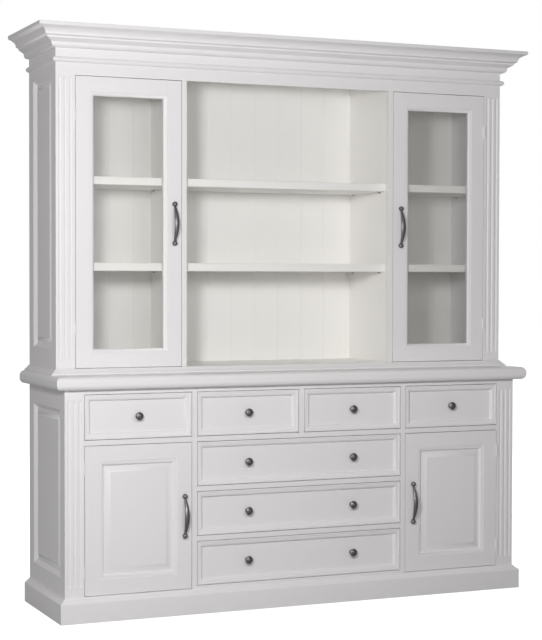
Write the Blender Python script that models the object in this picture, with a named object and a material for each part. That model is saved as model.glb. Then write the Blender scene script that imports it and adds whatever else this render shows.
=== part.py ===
"""Two-part buffet cabinet: drawers and panelled doors below, glazed doors and a niche above.

Lengths are in metres. +X is the right-hand side seen from the front, -Y is the front and +Z
is up. The origin is on the floor, under the middle of the cabinet's bounding box.
"""

import math

import bmesh
import bpy
from mathutils import Matrix, Vector

# Whole cabinet
CARCASS_WIDTH = 1.902
BASE_DEPTH = 0.483
HUTCH_DEPTH = 0.370
BASE_HEIGHT = 0.857
HUTCH_OPENING_HEIGHT = 1.0917
FRIEZE_HEIGHT = 0.0977

# Boards and clearances
SIDE_THICKNESS = 0.022
FRAME_THICKNESS = 0.022
PARTITION_THICKNESS = 0.018
BOARD_THICKNESS = 0.018
BACK_THICKNESS = 0.010
FIT_GAP = 0.0003
FRONT_GAP = 0.002
CUT_OVERRUN = 0.002
MERGE_DISTANCE = 0.000001

# Face frames
PILASTER_WIDTH = 0.075
STILE_WIDTH = 0.020
CENTRE_STILE_WIDTH = 0.023
SIDE_OPENING_WIDTH = 0.4225
TOP_RAIL_HEIGHT = 0.0178
RAIL_HEIGHT = 0.0193
DOOR_SILL_HEIGHT = 0.0024
BOTTOM_RAIL_LIP = 0.0104
DRAWER_ROWS = 4
FLUTE_COUNT = 3
FLUTE_PITCH = 0.0158
FLUTE_WIDTH = 0.0105
FLUTE_DEPTH = 0.0045
FLUTE_END_MARGIN = 0.033
FLUTE_DROP_UNDER_FRIEZE = 0.010
FLUTE_SIDES = 12
FLUTE_END_RINGS = 3

# Mouldings
PLINTH_HEIGHT = 0.0913
PLINTH_PROJECTION = 0.0213
PLINTH_FLAT_HEIGHT = 0.072
PLINTH_TOP_EDGE = 0.004
COUNTERTOP_THICKNESS = 0.049
COUNTERTOP_OVERHANG = 0.040
COUNTERTOP_NOSE_DEPTH = 0.018
COUNTERTOP_NOSE_HEIGHT = 0.020
HUTCH_FLOOR_THICKNESS = 0.022
HUTCH_FLOOR_PROJECTION = 0.021
HUTCH_FLOOR_HOLLOW_SHARES = ((3.04, 3.0), (3.567, 3.405))
HUTCH_FLOOR_HOLLOW_START = 235.2
HUTCH_FLOOR_HOLLOW_END = 216.4
HUTCH_FLOOR_HOLLOW_STEPS = 4
ASTRAGAL_HEIGHT = 0.020
ASTRAGAL_PROJECTION = 0.013
ASTRAGAL_STEP = 0.001
ASTRAGAL_DROP = 0.042
CORNICE_HEIGHT = 0.085
CORNICE_PROJECTION = 0.0835
CORNICE_LID_THICKNESS = 0.020
CORNICE_BEAD_SHARES = ((0.085, 0.167), (0.168, 0.167))
CORNICE_BEVEL_SHARES = ((0.2575, 0.232), (0.503, 0.381), (0.509, 0.446), (0.617, 0.494))
CORNICE_COVE_SHARES = ((1.305, 0.512), (0.677, 0.371))
CORNICE_COVE_END = 120
CORNICE_LIP_SHARES = ((0.988, 0.851), (1.0, 0.875), (1.0, 0.986), (0.99, 1.0))
NOSE_STEPS = 5
MOULD_FILLET_WIDTH_SHARE = 0.10
MOULD_FILLET_DEPTH_SHARE = 0.30
STICKING_STEPS = 2

# Framed sides
SIDE_FRONT_STILE = 0.0565
SIDE_BACK_STILE = 0.060
BASE_SIDE_BOTTOM_RAIL = 0.160
BASE_SIDE_TOP_RAIL = 0.0735
HUTCH_SIDE_BOTTOM_RAIL = 0.071
HUTCH_SIDE_TOP_RAIL = 0.092
SIDE_PANEL_RECESS = 0.0125
SIDE_FIELD_RECESS = 0.0045
SIDE_STICKING_WIDTH = 0.016
SIDE_MARGIN_WIDTH = 0.007
SIDE_FIELD_INSET = 0.044
SIDE_FIELD_STEP = 0.009

# Back boards
BOARD_PITCH = 0.105
BOARD_GROOVE_WIDTH = 0.004
BOARD_GROOVE_DEPTH = 0.0025

# Shelves
SHELF_THICKNESS = 0.031
LOWER_SHELF_TOP_SHARE = 0.3631
UPPER_SHELF_TOP_SHARE = 0.6608
SHELF_SET_BACK = 0.030
SHELF_END_CLEARANCE = 0.001
SHELF_EDGE_ROUND = 0.003
PIN_RADIUS = 0.003
PIN_LENGTH = 0.009
PIN_SET_BACK = 0.045
PIN_SIDES = 8

# Drawers
DRAWER_RIM_WIDTH = 0.005
DRAWER_MOULD_WIDTH = 0.0155
DRAWER_MOULD_DEPTH = 0.011
DRAWER_MOULD_STEPS = 5
DRAWER_WALL = 0.012
DRAWER_BOX_HEADROOM = 0.0343
DRAWER_BOTTOM_THICKNESS = 0.006
DRAWER_BOTTOM_RISE = 0.006
DRAWER_SIDE_CLEARANCE = 0.003
DRAWER_BACK_CLEARANCE = 0.012
RUNNING_CLEARANCE = 0.0005
RUNNER_HEIGHT = 0.009
RUNNER_OVERLAP = 0.004
GUIDE_HEIGHT = 0.020
GUIDE_CLEARANCE = 0.0015
DIVIDER_THICKNESS = 0.012

# Doors
EDGE_ROUND = 0.0012
LOWER_DOOR_MEMBER = 0.070
LOWER_DOOR_STICKING = 0.0135
LOWER_DOOR_STICKING_DEPTH = 0.008
GLASS_DOOR_MEMBER = 0.070
GLASS_DOOR_STICKING = 0.010
GLASS_DOOR_STICKING_DEPTH = 0.008
PANEL_TONGUE_DEPTH = 0.009
PANEL_TONGUE_THICKNESS = 0.005
PANEL_CLEARANCE = 0.0005
PANEL_MARGIN_WIDTH = 0.002
PANEL_FIELD_INSET = 0.030
PANEL_FIELD_STEP = 0.008
PANEL_FIELD_DEPTH = 0.0025
PANEL_HOLLOW_SHARE = 0.4
GLASS_THICKNESS = 0.004

# Lift-off hinges
HINGE_RADIUS = 0.0032
HINGE_HALF_HEIGHT = 0.024
HINGE_PIN_RADIUS = 0.0014
HINGE_PIN_LENGTH = 0.016
HINGE_BORE_RADIUS = 0.0018
HINGE_BORE_SPARE = 0.002
HINGE_JOINT_GAP = 0.0006
HINGE_EDGE_ROUND = 0.0006
HINGE_WEB_REACH = 0.004
HINGE_WEB_SHARE = 0.8
HINGE_SIDES = 12
LOWER_HINGE_INSET = 0.085
GLASS_HINGE_INSET = 0.150

# Knobs
KNOB_HEAD_RADIUS = 0.0155
KNOB_HEAD_HEIGHT = 0.014
KNOB_NECK_RADIUS = 0.0055
KNOB_FOOT_RADIUS = 0.0095
KNOB_PROJECTION = 0.029
KNOB_FOOT_HEIGHT = 0.004
KNOB_RIM_SHARE = 0.45
KNOB_UNDERSIDE_SHARE = 0.75
KNOB_GROOVE_ANGLE = 50
KNOB_GROOVE_WIDTH = 0.0016
KNOB_GROOVE_DEPTH = 0.0008
KNOB_RIM_STEPS = 3
KNOB_BUTTON_STEPS = 2
KNOB_SIDES = 14
BOLT_RADIUS = 0.0018
BOLT_HOLE_RADIUS = 0.0022
BOLT_SIDES = 8

# Bow handles
HANDLE_SPACING = 0.149
HANDLE_BALL_RADIUS = 0.010
HANDLE_BALL_OUT = 0.011
HANDLE_RISE = 0.0225
HANDLE_NECK_RADIUS = 0.0042
HANDLE_SWELL_HALF_WIDTH = 0.0098
HANDLE_SWELL_HALF_DEPTH = 0.0056
HANDLE_FOOT_RADIUS = 0.0055
HANDLE_FROM_EDGE = 0.030
HANDLE_SIDES = 10
HANDLE_STEPS = 12
HANDLE_BALL_STEPS = 3
HANDLE_RISE_POWER = 0.85

# Places worked out from the sizes above
HALF_WIDTH = CARCASS_WIDTH / 2
OVERALL_DEPTH = BASE_DEPTH + COUNTERTOP_OVERHANG
BACK_Y = OVERALL_DEPTH / 2
BASE_FRONT_Y = BACK_Y - BASE_DEPTH
HUTCH_FRONT_Y = BACK_Y - HUTCH_DEPTH
SIDE_INNER_X = HALF_WIDTH - SIDE_THICKNESS
OPENING_OUTER_X = HALF_WIDTH - PILASTER_WIDTH
OPENING_INNER_X = OPENING_OUTER_X - SIDE_OPENING_WIDTH
CENTRE_HALF_WIDTH = OPENING_INNER_X - STILE_WIDTH
PARTITION_OUTER_X = (OPENING_INNER_X + CENTRE_HALF_WIDTH + PARTITION_THICKNESS) / 2
PARTITION_INNER_X = PARTITION_OUTER_X - PARTITION_THICKNESS
CUPBOARD_FLOOR_Z = PLINTH_HEIGHT + DOOR_SILL_HEIGHT
BOTTOM_RAIL_TOP = CUPBOARD_FLOOR_Z + BOTTOM_RAIL_LIP
DRAWER_STACK_HEIGHT = BASE_HEIGHT - TOP_RAIL_HEIGHT - BOTTOM_RAIL_TOP
DRAWER_OPENING_HEIGHT = (DRAWER_STACK_HEIGHT - (DRAWER_ROWS - 1) * RAIL_HEIGHT) / DRAWER_ROWS
DRAWER_BOX_HEIGHT = DRAWER_OPENING_HEIGHT - DRAWER_BOX_HEADROOM
COUNTERTOP_Z = BASE_HEIGHT + FIT_GAP
HUTCH_FLOOR_Z = COUNTERTOP_Z + COUNTERTOP_THICKNESS + FIT_GAP
HUTCH_FLOOR_TOP = HUTCH_FLOOR_Z + HUTCH_FLOOR_THICKNESS
HUTCH_CARCASS_Z = HUTCH_FLOOR_TOP + FIT_GAP
CEILING_Z = HUTCH_FLOOR_TOP + HUTCH_OPENING_HEIGHT
CORNICE_Z = CEILING_Z + FRIEZE_HEIGHT
OVERALL_HEIGHT = CORNICE_Z + CORNICE_HEIGHT
HUTCH_CARCASS_TOP = OVERALL_HEIGHT - CORNICE_LID_THICKNESS - FIT_GAP
ROW_PITCH = DRAWER_OPENING_HEIGHT + RAIL_HEIGHT
BASE_INSIDE_FRONT_Y = BASE_FRONT_Y + FRAME_THICKNESS + FIT_GAP
BASE_INSIDE_BACK_Y = BACK_Y - BACK_THICKNESS - FIT_GAP
HUTCH_INSIDE_FRONT_Y = HUTCH_FRONT_Y + FRAME_THICKNESS + FIT_GAP
HUTCH_INSIDE_BACK_Y = BACK_Y - BACK_THICKNESS - FIT_GAP
SHELF_TOPS = {"lower": HUTCH_FLOOR_TOP + LOWER_SHELF_TOP_SHARE * HUTCH_OPENING_HEIGHT,
              "upper": HUTCH_FLOOR_TOP + UPPER_SHELF_TOP_SHARE * HUTCH_OPENING_HEIGHT}
SIDES = {"left": -1, "right": 1}


def clear_scene():
    """Remove whatever the scene holds."""
    for item in list(bpy.data.objects):
        bpy.data.objects.remove(item, do_unlink=True)


def make_material(name, colour, roughness, metallic=0.0, alpha=1.0):
    """Make a Principled material."""
    material = bpy.data.materials.new(name)
    material.use_nodes = True
    shader = material.node_tree.nodes["Principled BSDF"]
    shader.inputs["Base Color"].default_value = (*colour, 1.0)
    shader.inputs["Roughness"].default_value = roughness
    shader.inputs["Metallic"].default_value = metallic
    shader.inputs["Alpha"].default_value = alpha
    return material


def place(name, bm, location, material=None, parent=None, smooth=False):
    """Turn a bmesh into an object; with a parent, the location is still a world place."""
    mesh = bpy.data.meshes.new(name)
    bm.to_mesh(mesh)
    bm.free()
    item = bpy.data.objects.new(name, mesh)
    bpy.context.scene.collection.objects.link(item)
    item.location = location
    if parent:
        item.parent = parent
        item.location = Vector(location) - parent.location
    if material:
        mesh.materials.append(material)
    if smooth:
        mesh.shade_smooth()
        mesh.set_sharp_from_angle(angle=math.radians(35))
    return item


def place_helper(name, bm, target):
    """Add a cutter or an added shape in the target's own coordinates, hidden from renders."""
    mesh = bpy.data.meshes.new(name)
    bm.to_mesh(mesh)
    bm.free()
    helper = bpy.data.objects.new(name, mesh)
    bpy.context.scene.collection.objects.link(helper)
    helper.parent = target
    helper.hide_render = True
    helper.display_type = "WIRE"
    return helper


def combine(target, name, bm, operation):
    """Cut a shape out of the target, or join it on, with a live Boolean modifier."""
    modifier = target.modifiers.new(name, "BOOLEAN")
    modifier.operation = operation
    modifier.solver = "EXACT"
    modifier.object = place_helper(target.name + "_" + name, bm, target)


def add_empty(name, location):
    """Mark a joint's axis, for its moving pieces to hang on."""
    empty = bpy.data.objects.new(name, None)
    bpy.context.scene.collection.objects.link(empty)
    empty.location = location
    return empty


def add_box(bm, low, high):
    """Add a closed box between two corners."""
    low, high = Vector(low), Vector(high)
    matrix = Matrix.Translation((low + high) / 2) @ Matrix.Diagonal((*(high - low), 1.0))
    bmesh.ops.create_cube(bm, size=1.0, matrix=matrix)


def add_loft(bm, loops, ring=False):
    """Skin closed loops of points into one closed body; a ring joins its last loop to its first."""
    rows = [[bm.verts.new(point) for point in loop] for loop in loops]
    pairs = list(zip(rows, rows[1:]))
    if ring:
        pairs.append((rows[-1], rows[0]))
    for row, following in pairs:
        for index, corner in enumerate(row):
            after = (index + 1) % len(row)
            bm.faces.new((corner, row[after], following[after], following[index]))
    if not ring:
        bm.faces.new(list(reversed(rows[0])))
        bm.faces.new(rows[-1])
    bmesh.ops.recalc_face_normals(bm, faces=bm.faces)


def add_turned(bm, profile, sides, matrix):
    """Spin a profile of (radius, height) points that starts and ends on the Z axis."""
    others = set(bm.verts)
    verts = [bm.verts.new((radius, 0.0, height)) for radius, height in profile]
    edges = [bm.edges.new(pair) for pair in zip(verts, verts[1:])]
    bmesh.ops.spin(bm, geom=verts + edges, cent=(0, 0, 0), axis=(0, 0, 1), dvec=(0, 0, 0),
                   angle=math.tau, steps=sides)
    new_verts = [vert for vert in bm.verts if vert not in others]
    bmesh.ops.remove_doubles(bm, verts=new_verts, dist=MERGE_DISTANCE)
    new_verts = [vert for vert in bm.verts if vert not in others]
    bmesh.ops.transform(bm, matrix=matrix, verts=new_verts)
    bmesh.ops.recalc_face_normals(bm, faces=bm.faces)


def cylinder_profile(radius, low, high):
    """Give the turned profile of a plain cylinder."""
    return [(0.0, low), (radius, low), (radius, high), (0.0, high)]


def arc(centre, radii, start, end, steps):
    """Give the points of an elliptical arc, from start to end degrees."""
    points = []
    for step in range(steps + 1):
        angle = math.radians(start + (end - start) * step / steps)
        points.append((centre[0] + radii[0] * math.cos(angle),
                       centre[1] + radii[1] * math.sin(angle)))
    return points


def plan_corners(half_width, front_y, back_y, out, z):
    """Give the plan of a block whose front and sides stand out by a distance."""
    return [(-half_width - out, back_y, z), (-half_width - out, front_y - out, z),
            (half_width + out, front_y - out, z), (half_width + out, back_y, z)]


def add_edged_block(bm, half_width, front_y, back_y, profile):
    """Make a board whose moulded edge, given from bottom to top, runs round three sides."""
    plans = [plan_corners(half_width, front_y, back_y, out, z) for out, z in profile]
    rows = [[bm.verts.new(corner) for corner in plan] for plan in plans]
    for row, above in zip(rows, rows[1:]):
        for corner in range(3):
            bm.faces.new((row[corner], row[corner + 1], above[corner + 1], above[corner]))
    bm.faces.new(rows[0])
    bm.faces.new(rows[-1])
    bm.faces.new([row[0] for row in rows] + [row[3] for row in reversed(rows)])
    bmesh.ops.recalc_face_normals(bm, faces=bm.faces)


def add_mitred_run(bm, half_width, front_y, back_y, profile):
    """Sweep a closed profile of (out, z) points along the left side, front and right side."""
    plans = [plan_corners(half_width, front_y, back_y, out, z) for out, z in profile]
    stations = [[plan[corner] for plan in plans] for corner in range(4)]
    add_loft(bm, stations)


def add_mitred_frame(bm, width, height, profile):
    """Sweep a closed profile of (inset, depth) points round a rectangle; its corner is at zero."""
    loops = []
    for column, row in ((0, 0), (1, 0), (1, 1), (0, 1)):
        loop = []
        for inset, depth in profile:
            x = inset + column * (width - 2 * inset)
            z = inset + row * (height - 2 * inset)
            loop.append((x, depth, z))
        loops.append(loop)
    add_loft(bm, loops, ring=True)


def upright_rect(left, right, bottom, top, depth):
    """Give the corners of a rectangle that faces the front."""
    return [(left, depth, bottom), (right, depth, bottom),
            (right, depth, top), (left, depth, top)]


def inset_rects(left, right, bottom, top, steps):
    """Give nested rectangles, one for each (inset, depth) step."""
    return [upright_rect(left + inset, right - inset, bottom + inset, top - inset, depth)
            for inset, depth in steps]


def smooth_steps(start, end, count):
    """Give an S-shaped run of (inset, depth) points, as an ogee moulding has."""
    points = []
    for step in range(count + 1):
        share = step / count
        rise = share * share * (3 - 2 * share)
        points.append((start[0] + (end[0] - start[0]) * share,
                       start[1] + (end[1] - start[1]) * rise))
    return points


def quirked_steps(start, end, count):
    """Give the (inset, depth) points of a small step and the quarter round that follows it."""
    width, depth = end[0] - start[0], end[1] - start[1]
    near = start[0] + MOULD_FILLET_WIDTH_SHARE * width
    radii = (end[0] - near, (1 - MOULD_FILLET_DEPTH_SHARE) * depth)
    return [start] + arc((near, end[1]), radii, -90, 0, count)


def hollow_steps(foot, field, step):
    """Give the (inset, depth) points of a raised panel's slope, which steepens at its field."""
    rise = foot[1] - field[1]
    return [foot, (field[0] - step, foot[1] - PANEL_HOLLOW_SHARE * rise), field]


def front_opening_x(column):
    """Give the left and right edges of a face-frame opening."""
    edges = {
        "left": (-OPENING_OUTER_X, -OPENING_INNER_X),
        "centre_left": (-CENTRE_HALF_WIDTH, -CENTRE_STILE_WIDTH / 2),
        "centre_right": (CENTRE_STILE_WIDTH / 2, CENTRE_HALF_WIDTH),
        "right": (OPENING_INNER_X, OPENING_OUTER_X),
        "wide": (-CENTRE_HALF_WIDTH, CENTRE_HALF_WIDTH),
    }
    return edges[column]


def row_bottom(row):
    """Give the bottom of a drawer opening; row 0 is the top one."""
    return BASE_HEIGHT - TOP_RAIL_HEIGHT - DRAWER_OPENING_HEIGHT - row * ROW_PITCH


def drawer_places():
    """List every drawer: its name, column, row and number of knobs."""
    drawers = [(column, column, 0, 1) for column in ("left", "centre_left", "centre_right", "right")]
    for row, level in enumerate(("top", "middle", "bottom"), start=1):
        drawers.append(("wide_" + level, "wide", row, 2))
    return drawers


def lower_door_z():
    """Give the bottom and top of the lower door openings."""
    return CUPBOARD_FLOOR_Z, row_bottom(0) - RAIL_HEIGHT


def flute_circle():
    """Give the radius of the circle that makes a flute's width and depth, and its stand-off."""
    radius = (FLUTE_WIDTH ** 2 / 4 + FLUTE_DEPTH ** 2) / (2 * FLUTE_DEPTH)
    return radius, radius - FLUTE_DEPTH


def add_flute(bm, x, bottom, top):
    """Add the round-ended rod that cuts one flute into a face at y = 0."""
    radius, stand_off = flute_circle()
    rings = []
    for step in range(FLUTE_END_RINGS + 1):
        angle = math.pi / 2 * (step + 0.5) / (FLUTE_END_RINGS + 0.5)
        rings.append((bottom + radius * (1 - math.sin(angle)), radius * math.cos(angle)))
    rings.reverse()
    rings[-1] = (bottom + radius, radius)
    rings += [(bottom + top - z, ring_radius) for z, ring_radius in reversed(rings)]
    loops = []
    for z, ring_radius in rings:
        circle = arc((x, -stand_off), (ring_radius, ring_radius), 0, 360, FLUTE_SIDES)
        loops.append([(px, py, z) for px, py in circle[:-1]])
    add_loft(bm, loops)


def cut_flutes(frame, bottom, top):
    """Cut the flutes of both pilasters of a face frame."""
    bm = bmesh.new()
    centre = HALF_WIDTH - PILASTER_WIDTH / 2
    for sign in SIDES.values():
        for index in range(FLUTE_COUNT):
            offset = (index - (FLUTE_COUNT - 1) / 2) * FLUTE_PITCH
            add_flute(bm, sign * centre + offset, bottom, top)
    combine(frame, "flutes", bm, "DIFFERENCE")


def hinge_heights(bottom, top, inset):
    """Give the heights at which a door's two hinges split."""
    return bottom + inset, top - inset


def hinge_axis_x(sign):
    """Give the hinge line of a door hung on the left (-1) or right (+1) pilaster."""
    return sign * (OPENING_OUTER_X - FRONT_GAP / 2)


def hinge_axis_out():
    """Give how far the hinge line stands in front of the door's face."""
    return HINGE_RADIUS + FIT_GAP


def join_fixed_hinges(frame, bottom, top, inset):
    """Join the lower hinge halves, with their pins, to the pilasters of a face frame."""
    barrels, webs = bmesh.new(), bmesh.new()
    profile = [(0.0, -HINGE_HALF_HEIGHT), (HINGE_RADIUS, -HINGE_HALF_HEIGHT),
               (HINGE_RADIUS, -HINGE_EDGE_ROUND), (HINGE_RADIUS - HINGE_EDGE_ROUND, 0.0),
               (HINGE_PIN_RADIUS, 0.0), (HINGE_PIN_RADIUS, HINGE_PIN_LENGTH),
               (0.0, HINGE_PIN_LENGTH)]
    for sign in SIDES.values():
        for z in hinge_heights(bottom, top, inset):
            axis = Vector((hinge_axis_x(sign), -hinge_axis_out(), z))
            add_turned(barrels, profile, HINGE_SIDES, Matrix.Translation(axis))
            middle = axis.z - HINGE_HALF_HEIGHT / 2
            add_hinge_web(webs, axis, sign, middle)
    combine(frame, "hinge_barrels", barrels, "UNION")
    combine(frame, "hinge_webs", webs, "UNION")


def add_hinge_web(bm, axis, sign, middle):
    """Add the short leaf between a barrel and the edge that carries it."""
    half_height = HINGE_HALF_HEIGHT * HINGE_WEB_SHARE / 2
    reach = axis.x + sign * HINGE_WEB_REACH
    low = (min(axis.x, reach), axis.y, middle - half_height)
    high = (max(axis.x, reach), EDGE_ROUND * 2, middle + half_height)
    add_box(bm, low, high)


def join_moving_hinges(door, corner, sign, bottom, top, inset):
    """Join the upper hinge halves, bored for the pins, to a door frame."""
    barrels, webs = bmesh.new(), bmesh.new()
    bore_top = HINGE_PIN_LENGTH + HINGE_BORE_SPARE
    low = HINGE_JOINT_GAP
    profile = [(0.0, HINGE_HALF_HEIGHT), (HINGE_RADIUS, HINGE_HALF_HEIGHT),
               (HINGE_RADIUS, low), (HINGE_BORE_RADIUS, low),
               (HINGE_BORE_RADIUS, bore_top), (0.0, bore_top)]
    for z in hinge_heights(bottom, top, inset):
        axis = Vector((hinge_axis_x(sign) - corner[0], -hinge_axis_out(), z - corner[2]))
        add_turned(barrels, profile, HINGE_SIDES, Matrix.Translation(axis))
        add_hinge_web_beside_bore(webs, axis, sign)
    combine(door, "hinge_webs", webs, "UNION")
    combine(door, "hinge_barrels", barrels, "UNION")


def add_hinge_web_beside_bore(bm, axis, sign):
    """Add the leaf of an upper hinge half, which stops inside the barrel's wall."""
    wall_middle = (HINGE_RADIUS + HINGE_BORE_RADIUS) / 2
    near = axis.x - sign * wall_middle
    reach = axis.x - sign * HINGE_WEB_REACH
    half_height = HINGE_HALF_HEIGHT * HINGE_WEB_SHARE / 2
    middle = axis.z + HINGE_HALF_HEIGHT / 2
    low = (min(near, reach), axis.y, middle - half_height)
    high = (max(near, reach), EDGE_ROUND * 2, middle + half_height)
    add_box(bm, low, high)


def make_base_face_frame(material):
    """Make the lower face frame: fluted pilasters, stiles and rails, with nine openings."""
    bm = bmesh.new()
    add_box(bm, (-HALF_WIDTH, 0, 0), (HALF_WIDTH, FRAME_THICKNESS, BASE_HEIGHT))
    frame = place("base_face_frame", bm, (0, BASE_FRONT_Y, 0), material)
    cuts = bmesh.new()
    for _, column, row, _ in drawer_places():
        left, right = front_opening_x(column)
        bottom = row_bottom(row)
        add_box(cuts, (left, -CUT_OVERRUN, bottom),
                (right, FRAME_THICKNESS + CUT_OVERRUN, bottom + DRAWER_OPENING_HEIGHT))
    bottom, top = lower_door_z()
    for column in SIDES:
        left, right = front_opening_x(column)
        add_box(cuts, (left, -CUT_OVERRUN, bottom), (right, FRAME_THICKNESS + CUT_OVERRUN, top))
    combine(frame, "openings", cuts, "DIFFERENCE")
    cut_flutes(frame, PLINTH_HEIGHT + FLUTE_END_MARGIN, BASE_HEIGHT - FLUTE_END_MARGIN)
    join_fixed_hinges(frame, bottom, top, LOWER_HINGE_INSET)


def astragal_profile(z):
    """Give the half-round bead that crosses the frieze, with its back sunk into the wood."""
    radii = (ASTRAGAL_PROJECTION - ASTRAGAL_STEP, ASTRAGAL_HEIGHT / 2)
    bead = arc((ASTRAGAL_STEP, z), radii, -90, 90, NOSE_STEPS + 1)
    return [(-CUT_OVERRUN, z - ASTRAGAL_HEIGHT / 2)] + bead + [(-CUT_OVERRUN, z + ASTRAGAL_HEIGHT / 2)]


def make_hutch_face_frame(material):
    """Make the upper face frame, open at its foot, with the frieze rail and its bead."""
    bm = bmesh.new()
    add_box(bm, (-HALF_WIDTH, 0, HUTCH_CARCASS_Z), (HALF_WIDTH, FRAME_THICKNESS, HUTCH_CARCASS_TOP))
    frame = place("hutch_face_frame", bm, (0, HUTCH_FRONT_Y, 0), material)
    cuts = bmesh.new()
    for column in ("left", "wide", "right"):
        left, right = front_opening_x(column)
        add_box(cuts, (left, -CUT_OVERRUN, HUTCH_CARCASS_Z - CUT_OVERRUN),
                (right, FRAME_THICKNESS + CUT_OVERRUN, CEILING_Z))
    combine(frame, "openings", cuts, "DIFFERENCE")
    bead = bmesh.new()
    add_mitred_run(bead, HALF_WIDTH, 0, FRAME_THICKNESS, astragal_profile(CORNICE_Z - ASTRAGAL_DROP))
    combine(frame, "astragal", bead, "UNION")
    cut_flutes(frame, HUTCH_FLOOR_TOP + FLUTE_END_MARGIN, CEILING_Z - FLUTE_DROP_UNDER_FRIEZE)
    join_fixed_hinges(frame, HUTCH_FLOOR_TOP, CEILING_Z, GLASS_HINGE_INSET)


def side_panel_steps():
    """Give the (inset, depth) steps of a fielded panel, from the frame's edge to the field."""
    foot = (SIDE_STICKING_WIDTH + SIDE_MARGIN_WIDTH, SIDE_PANEL_RECESS)
    field = (SIDE_FIELD_INSET, SIDE_FIELD_RECESS)
    sticking = quirked_steps((0, 0), (SIDE_STICKING_WIDTH, SIDE_PANEL_RECESS), STICKING_STEPS)
    return sticking + hollow_steps(foot, field, SIDE_FIELD_STEP)


def make_side(name, sign, front_y, bottom, top, rails, material):
    """Make a framed side with a fielded panel; y = 0 is its outer face, turned outwards."""
    depth = BACK_Y - front_y
    bm = bmesh.new()
    front_stile = SIDE_FRONT_STILE - FRAME_THICKNESS - FIT_GAP
    near, far = (front_stile, SIDE_BACK_STILE) if sign > 0 else (SIDE_BACK_STILE, front_stile)
    loops = [upright_rect(0, depth, bottom, top, SIDE_THICKNESS),
             upright_rect(0, depth, bottom, top, 0)]
    loops += inset_rects(near, depth - far, bottom + rails[0], top - rails[1], side_panel_steps())
    add_loft(bm, loops)
    start = front_y if sign > 0 else BACK_Y
    side = place(name, bm, (sign * HALF_WIDTH, start, 0), material)
    side.rotation_euler = (0, 0, sign * math.pi / 2)
    return side


def side_box(sign, start_y, x_low, x_high, y_low, y_high):
    """Give a world box's X and Y corners in the coordinates of a turned side."""
    if sign > 0:
        return (y_low - start_y, HALF_WIDTH - x_high), (y_high - start_y, HALF_WIDTH - x_low)
    return (start_y - y_high, HALF_WIDTH - x_high), (start_y - y_low, HALF_WIDTH - x_low)


def make_base_side(label, sign, material):
    """Make a side of the lower unit, with the runner and guide of its small drawer."""
    front_y = BASE_INSIDE_FRONT_Y
    rails = (BASE_SIDE_BOTTOM_RAIL, BASE_SIDE_TOP_RAIL)
    side = make_side("base_side_" + label, sign, front_y, 0, BASE_HEIGHT, rails, material)
    start = front_y if sign > 0 else BACK_Y
    drawer_edge = OPENING_OUTER_X - DRAWER_SIDE_CLEARANCE
    runner_edge = drawer_edge - DRAWER_WALL - RUNNER_OVERLAP
    top = row_bottom(0)
    for name, edge, low, high in (
            ("runner", runner_edge, top - RUNNER_HEIGHT, top),
            ("guide", drawer_edge + GUIDE_CLEARANCE, top - RUNNER_HEIGHT / 2, top + GUIDE_HEIGHT)):
        a, b = side_box(sign, start, edge, SIDE_INNER_X + CUT_OVERRUN,
                        BASE_INSIDE_FRONT_Y + FIT_GAP, BASE_INSIDE_BACK_Y - FIT_GAP)
        bm = bmesh.new()
        add_box(bm, (*a, low), (*b, high))
        combine(side, name, bm, "UNION")


def make_hutch_side(label, sign, material):
    """Make a side of the upper unit, with the frieze bead outside and shelf pins inside."""
    front_y = HUTCH_INSIDE_FRONT_Y
    lift = HUTCH_CARCASS_Z
    rails = (HUTCH_SIDE_BOTTOM_RAIL, HUTCH_CARCASS_TOP - CORNICE_Z + HUTCH_SIDE_TOP_RAIL)
    side = make_side("hutch_side_" + label, sign, front_y, lift, HUTCH_CARCASS_TOP, rails, material)
    depth = BACK_Y - front_y
    bead = bmesh.new()
    profile = astragal_profile(CORNICE_Z - ASTRAGAL_DROP)
    ends = (FIT_GAP, depth - FIT_GAP)
    add_loft(bead, [[(x, -out, z) for out, z in profile] for x in ends])
    combine(side, "astragal", bead, "UNION")
    start = front_y if sign > 0 else BACK_Y
    pins = bmesh.new()
    for y, z in pin_places():
        x = y - start if sign > 0 else start - y
        add_pin(pins, (x, SIDE_THICKNESS, z), (0, 1, 0))
    combine(side, "shelf_pins", pins, "UNION")


def pin_places():
    """List the depth and height of the shelf pins of one wall."""
    front = HUTCH_FRONT_Y + SHELF_SET_BACK + PIN_SET_BACK
    back = HUTCH_INSIDE_BACK_Y - PIN_SET_BACK
    places = []
    for top in SHELF_TOPS.values():
        z = top - SHELF_THICKNESS - FIT_GAP - PIN_RADIUS
        places += [(front, z), (back, z)]
    return places


def add_pin(bm, foot, direction):
    """Add one shelf pin that stands on a wall at its foot."""
    turn = Vector((0, 0, 1)).rotation_difference(Vector(direction)).to_matrix().to_4x4()
    spin = Matrix.Rotation(math.pi / PIN_SIDES, 4, "Z")
    profile = cylinder_profile(PIN_RADIUS, -CUT_OVERRUN, PIN_LENGTH)
    add_turned(bm, profile, PIN_SIDES, Matrix.Translation(foot) @ turn @ spin)


def make_plinth(material):
    """Make the skirting with its ogee top."""
    bm = bmesh.new()
    curve = smooth_steps((PLINTH_PROJECTION, PLINTH_FLAT_HEIGHT),
                         (PLINTH_TOP_EDGE, PLINTH_HEIGHT), NOSE_STEPS)
    profile = [(FIT_GAP, 0.0), (PLINTH_PROJECTION, 0.0)] + curve + [(FIT_GAP, PLINTH_HEIGHT)]
    add_mitred_run(bm, HALF_WIDTH, 0, BASE_DEPTH, profile)
    place("plinth", bm, (0, BASE_FRONT_Y, 0), material)


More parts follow.
